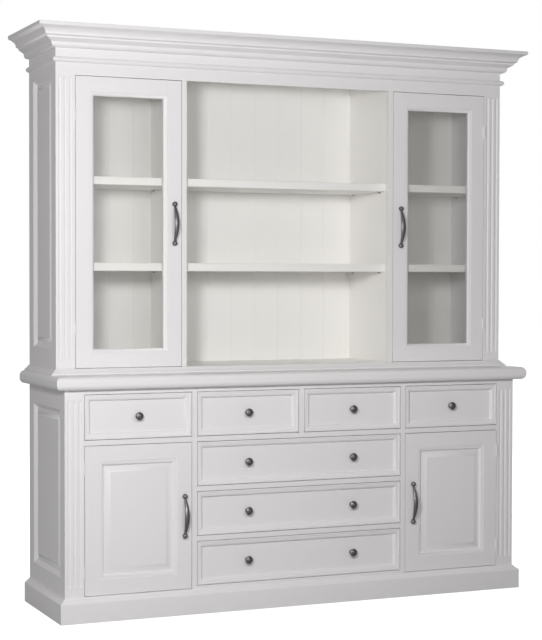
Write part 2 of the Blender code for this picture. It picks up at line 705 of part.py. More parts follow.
def make_countertop(material):
    """Make the worktop with its rounded edge."""
    inner = COUNTERTOP_OVERHANG - COUNTERTOP_NOSE_DEPTH
    radii = (COUNTERTOP_NOSE_DEPTH, COUNTERTOP_NOSE_HEIGHT)
    lower = arc((inner, COUNTERTOP_NOSE_HEIGHT), radii, -90, 0, NOSE_STEPS)
    upper = arc((inner, COUNTERTOP_THICKNESS - COUNTERTOP_NOSE_HEIGHT), radii, 0, 90, NOSE_STEPS)
    bm = bmesh.new()
    add_edged_block(bm, HALF_WIDTH, 0, BASE_DEPTH, lower + upper)
    place("countertop", bm, (0, BASE_FRONT_Y, COUNTERTOP_Z), material)


def make_hutch_bottom_board(material):
    """Make the floor of the upper unit, with a lip and a hollow bevel on three sides."""
    hollow = arc(*HUTCH_FLOOR_HOLLOW_SHARES, HUTCH_FLOOR_HOLLOW_START, HUTCH_FLOOR_HOLLOW_END,
                 HUTCH_FLOOR_HOLLOW_STEPS)
    shares = [(1, 0), *hollow, (hollow[-1][0], 1)]
    profile = [(out * HUTCH_FLOOR_PROJECTION, up * HUTCH_FLOOR_THICKNESS) for out, up in shares]
    bm = bmesh.new()
    add_edged_block(bm, HALF_WIDTH, 0, HUTCH_DEPTH, profile)
    place("hutch_bottom_board", bm, (0, HUTCH_FRONT_Y, HUTCH_FLOOR_Z), material)


def cornice_profile():
    """Give the cornice, bottom to top: bead, bevel, fillet, cove and lip."""
    bead = arc(*CORNICE_BEAD_SHARES, -90, 0, NOSE_STEPS - 1)
    cove = arc(*CORNICE_COVE_SHARES, 180, CORNICE_COVE_END, NOSE_STEPS - 1)
    shares = [*bead, *CORNICE_BEVEL_SHARES, *cove, *CORNICE_LIP_SHARES]
    return [(out * CORNICE_PROJECTION, up * CORNICE_HEIGHT) for out, up in shares]


def make_cornice(material):
    """Make the cornice: a moulded lid that drops over the top of the upper unit."""
    bm = bmesh.new()
    add_edged_block(bm, HALF_WIDTH, 0, HUTCH_DEPTH, cornice_profile())
    cornice = place("cornice", bm, (0, HUTCH_FRONT_Y, CORNICE_Z), material)
    pocket = bmesh.new()
    add_box(pocket, (-HALF_WIDTH - FIT_GAP, -FIT_GAP, -CUT_OVERRUN),
            (HALF_WIDTH + FIT_GAP, HUTCH_DEPTH + CUT_OVERRUN, CORNICE_HEIGHT - CORNICE_LID_THICKNESS))
    combine(cornice, "pocket", pocket, "DIFFERENCE")


def make_board(name, x_span, y_span, z_span, material):
    """Make a plain board; its origin is at its middle."""
    low = Vector((x_span[0], y_span[0], z_span[0]))
    high = Vector((x_span[1], y_span[1], z_span[1]))
    centre = (low + high) / 2
    bm = bmesh.new()
    add_box(bm, low - centre, high - centre)
    return place(name, bm, centre, material)


def make_base_back_panel(material):
    """Make the lower back, with the divider and runner between the two small centre drawers."""
    edge = SIDE_INNER_X - FIT_GAP
    panel = make_board("base_back_panel", (-edge, edge), (BASE_INSIDE_BACK_Y + FIT_GAP, BACK_Y),
                       (0, BASE_HEIGHT), material)
    top = row_bottom(0)
    half_runner = CENTRE_STILE_WIDTH / 2 + DRAWER_SIDE_CLEARANCE + DRAWER_WALL + RUNNER_OVERLAP
    y_span = (BASE_INSIDE_FRONT_Y, BASE_INSIDE_BACK_Y + CUT_OVERRUN)
    shapes = (("runner", half_runner, top - RUNNER_HEIGHT, top),
              ("divider", DIVIDER_THICKNESS / 2, top - RUNNER_HEIGHT / 2,
               top + DRAWER_OPENING_HEIGHT))
    for name, half, low, high in shapes:
        bm = bmesh.new()
        origin = panel.location
        add_box(bm, (-half, y_span[0] - origin.y, low - origin.z),
                (half, y_span[1] - origin.y, high - origin.z))
        combine(panel, name, bm, "UNION")


def make_base_partition(label, sign, material):
    """Make the upright beside the drawer stack, with drawer runners on both faces."""
    x_span = sorted((sign * PARTITION_INNER_X, sign * PARTITION_OUTER_X))
    y_span = (BASE_INSIDE_FRONT_Y, BASE_INSIDE_BACK_Y)
    partition = make_board("base_partition_" + label, x_span, y_span,
                           (CUPBOARD_FLOOR_Z + FIT_GAP, BASE_HEIGHT), material)
    inner_edge = CENTRE_HALF_WIDTH - DRAWER_SIDE_CLEARANCE - DRAWER_WALL - RUNNER_OVERLAP
    outer_edge = OPENING_INNER_X + DRAWER_SIDE_CLEARANCE + DRAWER_WALL + RUNNER_OVERLAP
    bm = bmesh.new()
    spans = [(inner_edge, PARTITION_INNER_X + CUT_OVERRUN, row) for row in range(DRAWER_ROWS)]
    spans.append((PARTITION_OUTER_X - CUT_OVERRUN, outer_edge, 0))
    origin = partition.location
    for near, far, row in spans:
        xs = sorted((sign * near, sign * far))
        top = row_bottom(row)
        add_box(bm, (xs[0] - origin.x, y_span[0] + FIT_GAP - origin.y, top - RUNNER_HEIGHT - origin.z),
                (xs[1] - origin.x, y_span[1] - FIT_GAP - origin.y, top - origin.z))
    combine(partition, "runners", bm, "UNION")


def make_hutch_partition(label, sign, material):
    """Make the upright beside the niche, with shelf pins on both faces."""
    x_span = sorted((sign * PARTITION_INNER_X, sign * PARTITION_OUTER_X))
    partition = make_board("hutch_partition_" + label, x_span,
                           (HUTCH_INSIDE_FRONT_Y, HUTCH_INSIDE_BACK_Y),
                           (HUTCH_CARCASS_Z, CEILING_Z - FIT_GAP), material)
    bm = bmesh.new()
    origin = partition.location
    for y, z in pin_places():
        for facing in (-1, 1):
            foot = (facing * PARTITION_THICKNESS / 2, y - origin.y, z - origin.z)
            add_pin(bm, foot, (facing, 0, 0))
    combine(partition, "shelf_pins", bm, "UNION")


def make_back_boards(material):
    """Make the upright tongue-and-groove boards, whose joints show as V-grooves on both faces."""
    edge = SIDE_INNER_X - FIT_GAP
    count = int(edge / BOARD_PITCH)
    front = []
    for index in range(-count, count + 1):
        x = index * BOARD_PITCH
        front += [(x - BOARD_GROOVE_WIDTH / 2, 0.0), (x, BOARD_GROOVE_DEPTH),
                  (x + BOARD_GROOVE_WIDTH / 2, 0.0)]
    front = [(-edge, 0.0)] + front + [(edge, 0.0)]
    outline = front + [(x, BACK_THICKNESS - y) for x, y in reversed(front)]
    heights = (0.0, HUTCH_CARCASS_TOP - HUTCH_CARCASS_Z)
    bm = bmesh.new()
    add_loft(bm, [[(x, y, z) for x, y in outline] for z in heights])
    place("hutch_back_boards", bm, (0, BACK_Y - BACK_THICKNESS, HUTCH_CARCASS_Z), material)


def make_shelf(name, left, right, top, material):
    """Make a shelf with its front edges slightly rounded."""
    front = HUTCH_FRONT_Y + SHELF_SET_BACK
    back = HUTCH_INSIDE_BACK_Y - SHELF_END_CLEARANCE
    depth = back - front
    low_nose = arc((SHELF_EDGE_ROUND, SHELF_EDGE_ROUND), (SHELF_EDGE_ROUND, SHELF_EDGE_ROUND),
                   270, 180, 2)
    high_nose = [(y, SHELF_THICKNESS - z) for y, z in reversed(low_nose)]
    outline = [(depth, 0.0)] + low_nose + high_nose + [(depth, SHELF_THICKNESS)]
    width = right - left - 2 * SHELF_END_CLEARANCE
    bm = bmesh.new()
    add_loft(bm, [[(x, y, z) for y, z in outline] for x in (0, width)])
    place(name, bm, (left + SHELF_END_CLEARANCE, front, top - SHELF_THICKNESS), material)


def make_shelves(material):
    """Make the two shelves of each of the three bays."""
    bays = {
        "left": (-SIDE_INNER_X, -PARTITION_OUTER_X),
        "niche": (-PARTITION_INNER_X, PARTITION_INNER_X),
        "right": (PARTITION_OUTER_X, SIDE_INNER_X),
    }
    for bay, (left, right) in bays.items():
        for level, top in SHELF_TOPS.items():
            make_shelf("shelf_" + bay + "_" + level, left, right, top, material)


def add_bolt_holes(bm, places, length):
    """Add the rods that drill bolt holes into a front, from its face backwards."""
    turn = Matrix.Rotation(math.pi / 2, 4, "X")
    profile = cylinder_profile(BOLT_HOLE_RADIUS, -length, CUT_OVERRUN)
    for place_xyz in places:
        add_turned(bm, profile, BOLT_SIDES, Matrix.Translation(place_xyz) @ turn)


def make_drawer_front(name, width, height, knobs, corner, material, parent):
    """Make a flush drawer front whose thin rim falls in a quarter round to a sunk field."""
    foot = DRAWER_RIM_WIDTH + DRAWER_MOULD_WIDTH
    steps = [(0.0, FRAME_THICKNESS), (0.0, EDGE_ROUND), (EDGE_ROUND, 0.0)]
    steps += quirked_steps((DRAWER_RIM_WIDTH, 0.0), (foot, DRAWER_MOULD_DEPTH), DRAWER_MOULD_STEPS)
    bm = bmesh.new()
    add_loft(bm, inset_rects(0, width, 0, height, steps))
    front = place(name, bm, corner, material, parent)
    holes = bmesh.new()
    spots = [(x - corner[0], DRAWER_MOULD_DEPTH, z - corner[2]) for x, z in knobs]
    add_bolt_holes(holes, spots, FRAME_THICKNESS)
    combine(front, "bolt_holes", holes, "DIFFERENCE")


def make_drawer_box(name, left, right, bottom, material, parent):
    """Make a drawer box, open at the top, with its bottom let in above the side edges."""
    front = BASE_FRONT_Y + FRAME_THICKNESS + FIT_GAP
    back = BASE_INSIDE_BACK_Y - DRAWER_BACK_CLEARANCE
    width, depth = right - left, back - front
    wall = DRAWER_WALL
    inside = (wall, width - wall, wall, depth - wall)
    outside = (0.0, width, 0.0, depth)
    floor = DRAWER_BOTTOM_RISE + DRAWER_BOTTOM_THICKNESS
    levels = ((inside, DRAWER_BOTTOM_RISE), (inside, 0.0), (outside, 0.0),
              (outside, DRAWER_BOX_HEIGHT), (inside, DRAWER_BOX_HEIGHT), (inside, floor))
    loops = []
    for (x0, x1, y0, y1), z in levels:
        loops.append([(x0, y0, z), (x1, y0, z), (x1, y1, z), (x0, y1, z)])
    bm = bmesh.new()
    add_loft(bm, loops)
    place(name, bm, (left, front, bottom + RUNNING_CLEARANCE), material, parent)


def knob_head_profile(rim):
    """Give the head above its rim: a shoulder, the ring groove and the domed button inside it."""
    rise = KNOB_PROJECTION - rim
    shoulder = arc((0.0, rim), (KNOB_HEAD_RADIUS, rise), 0, KNOB_GROOVE_ANGLE, KNOB_RIM_STEPS)
    groove_out, groove_up = shoulder[-1]
    floor = (groove_out - KNOB_GROOVE_WIDTH / 2, groove_up - KNOB_GROOVE_DEPTH)
    button_radii = (groove_out - KNOB_GROOVE_WIDTH, KNOB_PROJECTION - groove_up)
    button = arc((0.0, groove_up), button_radii, 0, 90, KNOB_BUTTON_STEPS)
    return [*shoulder, floor, *button[:-1], (0.0, KNOB_PROJECTION)]


def knob_profile():
    """Give the turned knob from its bolt's end to the crown of its head."""
    bolt_end = -(FRAME_THICKNESS - DRAWER_MOULD_DEPTH - FIT_GAP)
    head_low = KNOB_PROJECTION - KNOB_HEAD_HEIGHT
    rim = head_low + KNOB_HEAD_HEIGHT * KNOB_RIM_SHARE
    return [(0.0, bolt_end), (BOLT_RADIUS, bolt_end), (BOLT_RADIUS, FIT_GAP),
            (KNOB_FOOT_RADIUS, FIT_GAP), (KNOB_FOOT_RADIUS, KNOB_FOOT_HEIGHT / 2),
            (KNOB_NECK_RADIUS, KNOB_FOOT_HEIGHT), (KNOB_NECK_RADIUS, head_low),
            (KNOB_HEAD_RADIUS * KNOB_UNDERSIDE_SHARE, head_low), *knob_head_profile(rim)]


def make_knob(name, x, z, material, parent):
    """Make a knob with its bolt, seated on the drawer's field."""
    bm = bmesh.new()
    add_turned(bm, knob_profile(), KNOB_SIDES, Matrix.Rotation(math.pi / 2, 4, "X"))
    place(name, bm, (x, BASE_FRONT_Y + DRAWER_MOULD_DEPTH, z), material, parent, smooth=True)


def make_drawer(name, column, row, knob_count, materials):
    """Make one drawer: front, box and knobs, on an empty at its front's middle."""
    left, right = front_opening_x(column)
    bottom = row_bottom(row)
    centre_z = bottom + DRAWER_OPENING_HEIGHT / 2
    centre_x = (left + right) / 2
    knob_offset = (CENTRE_HALF_WIDTH + CENTRE_STILE_WIDTH / 2) / 2
    offsets = {"": 0.0} if knob_count == 1 else {"_left": -knob_offset, "_right": knob_offset}
    slide = add_empty("slide_" + name, (centre_x, BASE_FRONT_Y, centre_z))
    corner = (left + FRONT_GAP, BASE_FRONT_Y, bottom + FRONT_GAP)
    knobs = [(centre_x + offset, centre_z) for offset in offsets.values()]
    make_drawer_front("drawer_front_" + name, right - left - 2 * FRONT_GAP,
                      DRAWER_OPENING_HEIGHT - 2 * FRONT_GAP, knobs, corner, materials["paint"], slide)
    make_drawer_box("drawer_box_" + name, left + DRAWER_SIDE_CLEARANCE,
                    right - DRAWER_SIDE_CLEARANCE, bottom, materials["wood"], slide)
    for suffix, offset in offsets.items():
        make_knob("knob_" + name + suffix, centre_x + offset, centre_z, materials["pewter"], slide)


def door_frame_profile(member, sticking, sticking_depth, slot):
    """Give a door member's section: rounded edge, flat, moulded inner edge and groove."""
    curve = quirked_steps((member - sticking, 0.0), (member, sticking_depth), STICKING_STEPS)
    groove_floor = member - PANEL_TONGUE_DEPTH - PANEL_CLEARANCE
    groove_back = sticking_depth + slot + 2 * FIT_GAP
    return ([(0.0, FRAME_THICKNESS), (0.0, EDGE_ROUND), (EDGE_ROUND, 0.0)] + curve
            + [(groove_floor, sticking_depth), (groove_floor, groove_back),
               (member, groove_back), (member, FRAME_THICKNESS)])


def lower_panel_steps():
    """Give the (inset, depth) steps of a fielded panel, from its tongue's edge."""
    face = LOWER_DOOR_STICKING_DEPTH + FIT_GAP
    foot = (PANEL_TONGUE_DEPTH + PANEL_MARGIN_WIDTH, face)
    field = (PANEL_TONGUE_DEPTH + PANEL_FIELD_INSET, PANEL_FIELD_DEPTH)
    return [(0.0, face + PANEL_TONGUE_THICKNESS), (0.0, face),
            *hollow_steps(foot, field, PANEL_FIELD_STEP)]


def make_door(kind, label, sign, bottom, top, front_y, inset, profile, materials):
    """Make a door's frame and handle on its hinge line; give its corner, size and empty."""
    axis_y = front_y - hinge_axis_out()
    axis = add_empty("hinge_" + kind + "_" + label, (hinge_axis_x(sign), axis_y, bottom))
    left, right = front_opening_x(label)
    corner = (left + FRONT_GAP, front_y, bottom + FRONT_GAP)
    width, height = right - left - 2 * FRONT_GAP, top - bottom - 2 * FRONT_GAP
    bm = bmesh.new()
    add_mitred_frame(bm, width, height, profile)
    frame = place(kind + "_frame_" + label, bm, corner, materials["paint"], axis)
    handle_x = sign * (OPENING_INNER_X + FRONT_GAP + HANDLE_FROM_EDGE)
    handle_z = (bottom + top) / 2
    bolts = [(handle_x - corner[0], 0.0, handle_z + half - corner[2])
             for half in (-HANDLE_SPACING / 2, HANDLE_SPACING / 2)]
    holes = bmesh.new()
    add_bolt_holes(holes, bolts, FRAME_THICKNESS + CUT_OVERRUN)
    combine(frame, "bolt_holes", holes, "DIFFERENCE")
    join_moving_hinges(frame, corner, sign, bottom, top, inset)
    make_handle(kind + "_handle_" + label, (handle_x, front_y, handle_z), materials["pewter"], axis)
    return corner, width, height, axis


def make_lower_door(label, sign, materials):
    """Make a lower door: frame, loose fielded panel and handle."""
    profile = door_frame_profile(LOWER_DOOR_MEMBER, LOWER_DOOR_STICKING,
                                 LOWER_DOOR_STICKING_DEPTH, PANEL_TONGUE_THICKNESS)
    bottom, top = lower_door_z()
    corner, width, height, axis = make_door(
        "lower_door", label, sign, bottom, top, BASE_FRONT_Y, LOWER_HINGE_INSET, profile, materials)
    edge = LOWER_DOOR_MEMBER - PANEL_TONGUE_DEPTH
    bm = bmesh.new()
    add_loft(bm, inset_rects(edge, width - edge, edge, height - edge, lower_panel_steps()))
    place("lower_door_panel_" + label, bm, corner, materials["paint"], axis)


def make_glass_door(label, sign, materials):
    """Make a glazed door: frame, pane and handle."""
    profile = door_frame_profile(GLASS_DOOR_MEMBER, GLASS_DOOR_STICKING,
                                 GLASS_DOOR_STICKING_DEPTH, GLASS_THICKNESS)
    corner, width, height, axis = make_door(
        "glass_door", label, sign, HUTCH_FLOOR_TOP, CEILING_Z, HUTCH_FRONT_Y,
        GLASS_HINGE_INSET, profile, materials)
    edge = GLASS_DOOR_MEMBER - PANEL_TONGUE_DEPTH
    face = GLASS_DOOR_STICKING_DEPTH + FIT_GAP
    bm = bmesh.new()
    add_box(bm, (edge, face, edge), (width - edge, face + GLASS_THICKNESS, height - edge))
    place("glass_pane_" + label, bm, corner, materials["glass"], axis)


def handle_stations():
    """Give the bow's (z, out, half width, half depth) stations, from ball end to ball end."""
    half = HANDLE_SPACING / 2
    ball = []
    for step in range(HANDLE_BALL_STEPS * 2):
        angle = math.pi * (step + 0.5) / (HANDLE_BALL_STEPS * 2 + 1)
        radius = HANDLE_BALL_RADIUS * math.sin(angle)
        ball.append((-half - HANDLE_BALL_RADIUS * math.cos(angle), HANDLE_BALL_OUT, radius, radius))
    bow = []
    start = -half + HANDLE_BALL_RADIUS
    for step in range(HANDLE_STEPS + 1):
        share = step / HANDLE_STEPS
        swell = max(math.sin(math.pi * share), 0.0)
        bow.append((start - 2 * start * share,
                    HANDLE_BALL_OUT + HANDLE_RISE * swell ** HANDLE_RISE_POWER,
                    HANDLE_NECK_RADIUS + (HANDLE_SWELL_HALF_WIDTH - HANDLE_NECK_RADIUS) * swell,
                    HANDLE_NECK_RADIUS + (HANDLE_SWELL_HALF_DEPTH - HANDLE_NECK_RADIUS) * swell))
    return ball + bow + [(-z, out, wide, deep) for z, out, wide, deep in reversed(ball)]


def handle_loops():
    """Give the rings of points that skin the balls and the flattened bow."""
    stations = handle_stations()
    loops = []
    for index, (z, out, wide, deep) in enumerate(stations):
        before = stations[max(index - 1, 0)]
        after = stations[min(index + 1, len(stations) - 1)]
        tangent = Vector((0.0, before[1] - after[1], after[0] - before[0])).normalized()
        normal = Vector((1, 0, 0)).cross(tangent)
        loop = []
        for side in range(HANDLE_SIDES):
            angle = math.tau * (side + 0.5) / HANDLE_SIDES
            point = Vector((0.0, -out, z)) + normal * deep * math.sin(angle)
            point.x = wide * math.cos(angle)
            loop.append(point)
        loops.append(loop)
    return loops


def make_handle(name, centre, material, parent):
    """Make a bow handle: two balls on short feet with bolts, and a swelling bow between."""
    bm = bmesh.new()
    add_loft(bm, handle_loops())
    handle = place(name, bm, centre, material, parent, smooth=True)
    feet = bmesh.new()
    turn = Matrix.Rotation(math.pi / 2, 4, "X")
    bolt_end = -(FRAME_THICKNESS - FIT_GAP)
    profile = [(0.0, bolt_end), (BOLT_RADIUS, bolt_end), (BOLT_RADIUS, FIT_GAP),
               (HANDLE_FOOT_RADIUS, FIT_GAP), (HANDLE_FOOT_RADIUS, HANDLE_BALL_OUT),
               (0.0, HANDLE_BALL_OUT)]
    for half in (-HANDLE_SPACING / 2, HANDLE_SPACING / 2):
        add_turned(feet, profile, HANDLE_SIDES, Matrix.Translation((0, 0, half)) @ turn)
    combine(handle, "feet", feet, "UNION")


def make_lower_unit(materials):
    """Make everything below the hutch."""
    paint = materials["paint"]
    make_plinth(paint)
    make_base_face_frame(paint)
    for label, sign in SIDES.items():
        make_base_side(label, sign, paint)
        make_base_partition(label, sign, paint)
        make_lower_door(label, sign, materials)
    edge = SIDE_INNER_X - FIT_GAP
    make_board("base_bottom_board", (-edge, edge), (BASE_INSIDE_FRONT_Y, BASE_INSIDE_BACK_Y),
               (CUPBOARD_FLOOR_Z - BOARD_THICKNESS, CUPBOARD_FLOOR_Z), paint)
    make_base_back_panel(paint)
    make_countertop(paint)
    for name, column, row, knob_count in drawer_places():
        make_drawer(name, column, row, knob_count, materials)


def make_upper_unit(materials):
    """Make the hutch: carcass, shelves, glazed doors and cornice."""
    paint = materials["paint"]
    make_hutch_bottom_board(paint)
    make_hutch_face_frame(paint)
    for label, sign in SIDES.items():
        make_hutch_side(label, sign, paint)
        make_hutch_partition(label, sign, paint)
        make_glass_door(label, sign, materials)
    edge = SIDE_INNER_X - FIT_GAP
    make_board("hutch_top_board", (-edge, edge), (HUTCH_INSIDE_FRONT_Y, HUTCH_INSIDE_BACK_Y),
               (CEILING_Z, CEILING_Z + BOARD_THICKNESS), paint)
    make_back_boards(paint)
    make_shelves(paint)
    make_cornice(paint)


def main():
    """Build the cabinet."""
    clear_scene()
    materials = {
        "paint": make_material("white_paint", (0.80, 0.80, 0.79), 0.40),
        "wood": make_material("drawer_wood", (0.62, 0.47, 0.31), 0.60),
        "pewter": make_material("pewter", (0.16, 0.16, 0.165), 0.38, metallic=1.0),
        "glass": make_material("clear_glass", (0.93, 0.96, 0.94), 0.05, alpha=0.25),
    }
    make_lower_unit(materials)
    make_upper_unit(materials)


main()
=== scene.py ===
# %% [markdown]
# # A white buffet cabinet
# The cabinet is two carcasses, one standing on the other, closed by a moulded cornice.
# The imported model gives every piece's place. This lesson builds finer pieces in the same
# places, as a joiner would: board by board, moulding by moulding.
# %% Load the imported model
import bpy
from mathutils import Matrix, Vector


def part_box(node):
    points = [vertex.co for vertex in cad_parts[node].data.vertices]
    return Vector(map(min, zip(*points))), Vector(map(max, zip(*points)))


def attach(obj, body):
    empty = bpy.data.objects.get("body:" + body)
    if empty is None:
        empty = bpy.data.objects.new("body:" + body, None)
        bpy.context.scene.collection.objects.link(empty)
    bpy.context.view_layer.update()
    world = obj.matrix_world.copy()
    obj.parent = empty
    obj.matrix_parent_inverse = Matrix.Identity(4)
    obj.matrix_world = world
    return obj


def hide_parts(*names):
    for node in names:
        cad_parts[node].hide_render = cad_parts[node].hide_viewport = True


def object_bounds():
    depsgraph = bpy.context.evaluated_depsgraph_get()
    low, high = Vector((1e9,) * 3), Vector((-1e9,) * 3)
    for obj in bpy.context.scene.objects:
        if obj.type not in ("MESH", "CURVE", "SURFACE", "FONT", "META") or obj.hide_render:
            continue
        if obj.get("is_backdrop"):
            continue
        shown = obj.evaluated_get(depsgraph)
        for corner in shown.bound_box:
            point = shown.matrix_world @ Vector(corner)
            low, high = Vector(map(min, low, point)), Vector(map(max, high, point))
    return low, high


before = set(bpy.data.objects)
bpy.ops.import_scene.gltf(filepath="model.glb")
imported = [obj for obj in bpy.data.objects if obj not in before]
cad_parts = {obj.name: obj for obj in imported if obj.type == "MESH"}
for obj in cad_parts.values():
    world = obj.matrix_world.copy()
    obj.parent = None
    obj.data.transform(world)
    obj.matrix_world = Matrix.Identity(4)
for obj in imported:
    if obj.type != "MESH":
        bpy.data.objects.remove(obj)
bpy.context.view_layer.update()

# %% Modules
import math

import bpy
from mathutils import Matrix, Vector

# %% [markdown]
# ## Where things are
# A cabinet is set out on a rod, a lath with every height and width marked on it. The
# solids are that rod here: their boxes give the marks, so nothing is measured twice. Only
# the thicknesses and gaps that a box can't show are written as numbers.
# %% Marks from the solids
BOARD = 0.022
BACK_BOARD = 0.010
FRONT_GAP = 0.002
FIT = 0.0003

base_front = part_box("drawer_front_left")[0].y
hutch_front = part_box("hutch_face_frame")[1].y - BOARD
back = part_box("base_back_panel")[1].y
half_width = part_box("base_side_right")[1].x
inner_x = half_width - BOARD
base_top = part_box("base_face_frame")[1].z
opening_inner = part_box("drawer_front_right")[0].x - FRONT_GAP
opening_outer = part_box("drawer_front_right")[1].x + FRONT_GAP
centre_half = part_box("drawer_front_wide_top")[1].x + FRONT_GAP
plinth_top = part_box("plinth")[1].z
hutch_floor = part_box("hutch_bottom_board")[1].z
carcass_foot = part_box("hutch_face_frame")[0].z
carcass_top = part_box("hutch_face_frame")[1].z
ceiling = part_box("hutch_top_board")[0].z
cornice_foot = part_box("cornice")[0].z
SIDES = {"left": -1, "right": 1}


def span(sign, first, second):
    """Two marks on one side of the middle, in their order along X."""
    return sorted((sign * first, sign * second))


print("carcass", round(2 * half_width, 4), "wide; drawer fronts at y", round(base_front, 4))

# %% [markdown]
# ## Sums on sockets
# A material's pattern is arithmetic on textures. Blender draws that as a web of Math
# nodes, which is slow to read. This small class wraps one socket and turns +, -, * and /
# into Math nodes, so a pattern can be written as one line, and 1 - mask works too.
# %% A socket that does sums
class Wire:
    """One output socket; sums with it add Math nodes."""

    def __init__(self, recipe, socket):
        self.recipe = recipe
        self.socket = socket

    def sum(self, operation, first, second):
        """One Math node."""
        return self.recipe.node("ShaderNodeMath", {"operation": operation}, {0: first, 1: second})

    def __add__(self, other):
        return self.sum("ADD", self, other)

    def __radd__(self, other):
        return self.sum("ADD", other, self)

    def __sub__(self, other):
        return self.sum("SUBTRACT", self, other)

    def __rsub__(self, other):
        return self.sum("SUBTRACT", other, self)

    def __mul__(self, other):
        return self.sum("MULTIPLY", self, other)

    def __rmul__(self, other):
        return self.sum("MULTIPLY", other, self)


print("sums on sockets are ready")

# %% [markdown]
# ## A recipe for a finish
# Each finish starts from the Principled shader. One method adds any node: it sets the
# node's own settings first, because they decide which sockets exist, and then fills the
# sockets with values or links. Patterns read Object coordinates, which stay with a piece
# when it moves.
# %% A material as a recipe
class Recipe:
    """The node tree of one finish."""

    def __init__(self, name, **constants):
        self.material = bpy.data.materials.new(name)
        self.material.use_nodes = True
        self.tree = self.material.node_tree
        self.shader = self.tree.nodes["Principled BSDF"]
        self.places = self.node("ShaderNodeTexCoord", {}, {}, "Object")
        for socket, value in constants.items():
            self.shader.inputs[socket.replace("_", " ")].default_value = value

    def node(self, kind, settings, inputs, output=0):
        """Add a node with its settings and inputs, and give one of its outputs."""
        made = self.tree.nodes.new(kind)
        for key, value in settings.items():
            setattr(made, key, value)
        for socket, value in inputs.items():
            self.fill(made.inputs[socket], value)
        return Wire(self, made.outputs[output])

    def fill(self, socket, value):
        """Give a socket a link or a value."""
        if isinstance(value, Wire):
            self.tree.links.new(value.socket, socket)
        else:
            socket.default_value = value

    def stretched(self, scale):
        """Places scaled along each axis: a small number draws a pattern out that way."""
        return self.node("ShaderNodeMapping", {}, {"Vector": self.places, "Scale": scale})

    def noise(self, scale, detail, roughness=0.5):
        """Soft noise from 0 to 1 with its own stretch."""
        return self.node("ShaderNodeTexNoise", {}, {
            "Vector": self.stretched(scale), "Scale": 1.0, "Detail": detail,
            "Roughness": roughness}, "Fac")

    def between(self, factor, low, high):
        """A colour between two colours."""
        mixed = self.node("ShaderNodeMix", {"data_type": "RGBA"}, {}, 2)
        inputs = mixed.socket.node.inputs
        self.fill(inputs[0], factor)
        self.fill(inputs[6], (*low, 1.0) if isinstance(low, tuple) else low)
        self.fill(inputs[7], (*high, 1.0) if isinstance(high, tuple) else high)
        return mixed

    def finish(self, **inputs):
        """Fill the shader's sockets and give the finished material."""
        for socket, value in inputs.items():
            self.fill(self.shader.inputs[socket.replace("_", " ")], value)
        return self.material

    def relief(self, height, distance):
        """Turn a height pattern into a bump of that many metres."""
        return self.node("ShaderNodeBump", {}, {
            "Height": height, "Strength": 1.0, "Distance": distance})


print("recipes are ready")

# %% [markdown]
# ## White satin paint
# The whole cabinet is sprayed white over brushed primer. From near, the wood's grain still
# telegraphs through as long shallow ridges, the film has a fine orange peel, and the white
# is a touch lighter in some places than in others. Grain runs along a board, so the same
# recipe is made three times, drawn out along X, Y or Z. Inside the hutch the recipe is made
# once more in a lighter, warmer white: that extra lightness and warmth is painted bounce
# light, for the light the boards send each other back and forth.
# %% Paint in three directions
WHITE = ((0.876, 0.856, 0.860), (0.900, 0.881, 0.885))
# The niche white is lighter and warmer than the cabinet's white: the difference is painted bounce
# light.
PAINTED_BOUNCE_WHITE = ((0.942, 0.929, 0.902), (0.966, 0.953, 0.928))
RIDGE_SCALE = (260.0, 7.0)
FIBRE_SCALE = (900.0, 24.0)
PAINT_RELIEF = 0.00012


def drawn_out(along, scale):
    """A pattern's scale on each axis, from its scales across and along the grain."""
    across, lengthwise = scale
    return [lengthwise if axis == along else across for axis in "xyz"]


def satin_paint(name, along, tones=WHITE):
    """White paint on wood whose grain runs along one axis."""
    recipe = Recipe(name, IOR=1.46)
    ridges = recipe.noise(drawn_out(along, RIDGE_SCALE), 4.0, 0.6)
    fibres = recipe.noise(drawn_out(along, FIBRE_SCALE), 2.0)
    peel = recipe.noise((1400.0, 1400.0, 1400.0), 1.0)
    drift = recipe.noise((2.3, 2.3, 2.3), 2.0)
    cloud = recipe.noise((14.0, 14.0, 14.0), 3.0)
    tint = drift * 0.65 + cloud * 0.25 + ridges * 0.10
    height = ridges * 0.60 + fibres * 0.25 + peel * 0.15
    return recipe.finish(
        Base_Color=recipe.between(tint, *tones),
        Roughness=0.34 + cloud * 0.10 + ridges * 0.06,
        Normal=recipe.relief(height, PAINT_RELIEF))


paint_up = satin_paint("paint_upright", "z")
paint_level = satin_paint("paint_level", "x")
paint_deep = satin_paint("paint_deep", "y")
# The hutch's inside gets this lighter, warmer white as painted bounce light.
paint_niche_painted_bounce = satin_paint("paint_niche_painted_bounce", "z", PAINTED_BOUNCE_WHITE)
print("paint:", [m.name for m in bpy.data.materials if m.name.startswith("paint")])

# %% [markdown]
# ## Bare wood
# Drawer boxes and runners are left bare. Growth rings make broad bands that wander along
# the board, and pores are short dark dashes. Bands come from a wave texture that noise
# bends, pores from noise drawn out hard along the grain.
# %% Bare wood in two directions
RING_SCALE = (26.0, 1.6)
PORE_SCALE = (1500.0, 60.0)
WOOD_TONES = ((0.50, 0.34, 0.19), (0.74, 0.58, 0.39))
WOOD_RELIEF = 0.00015


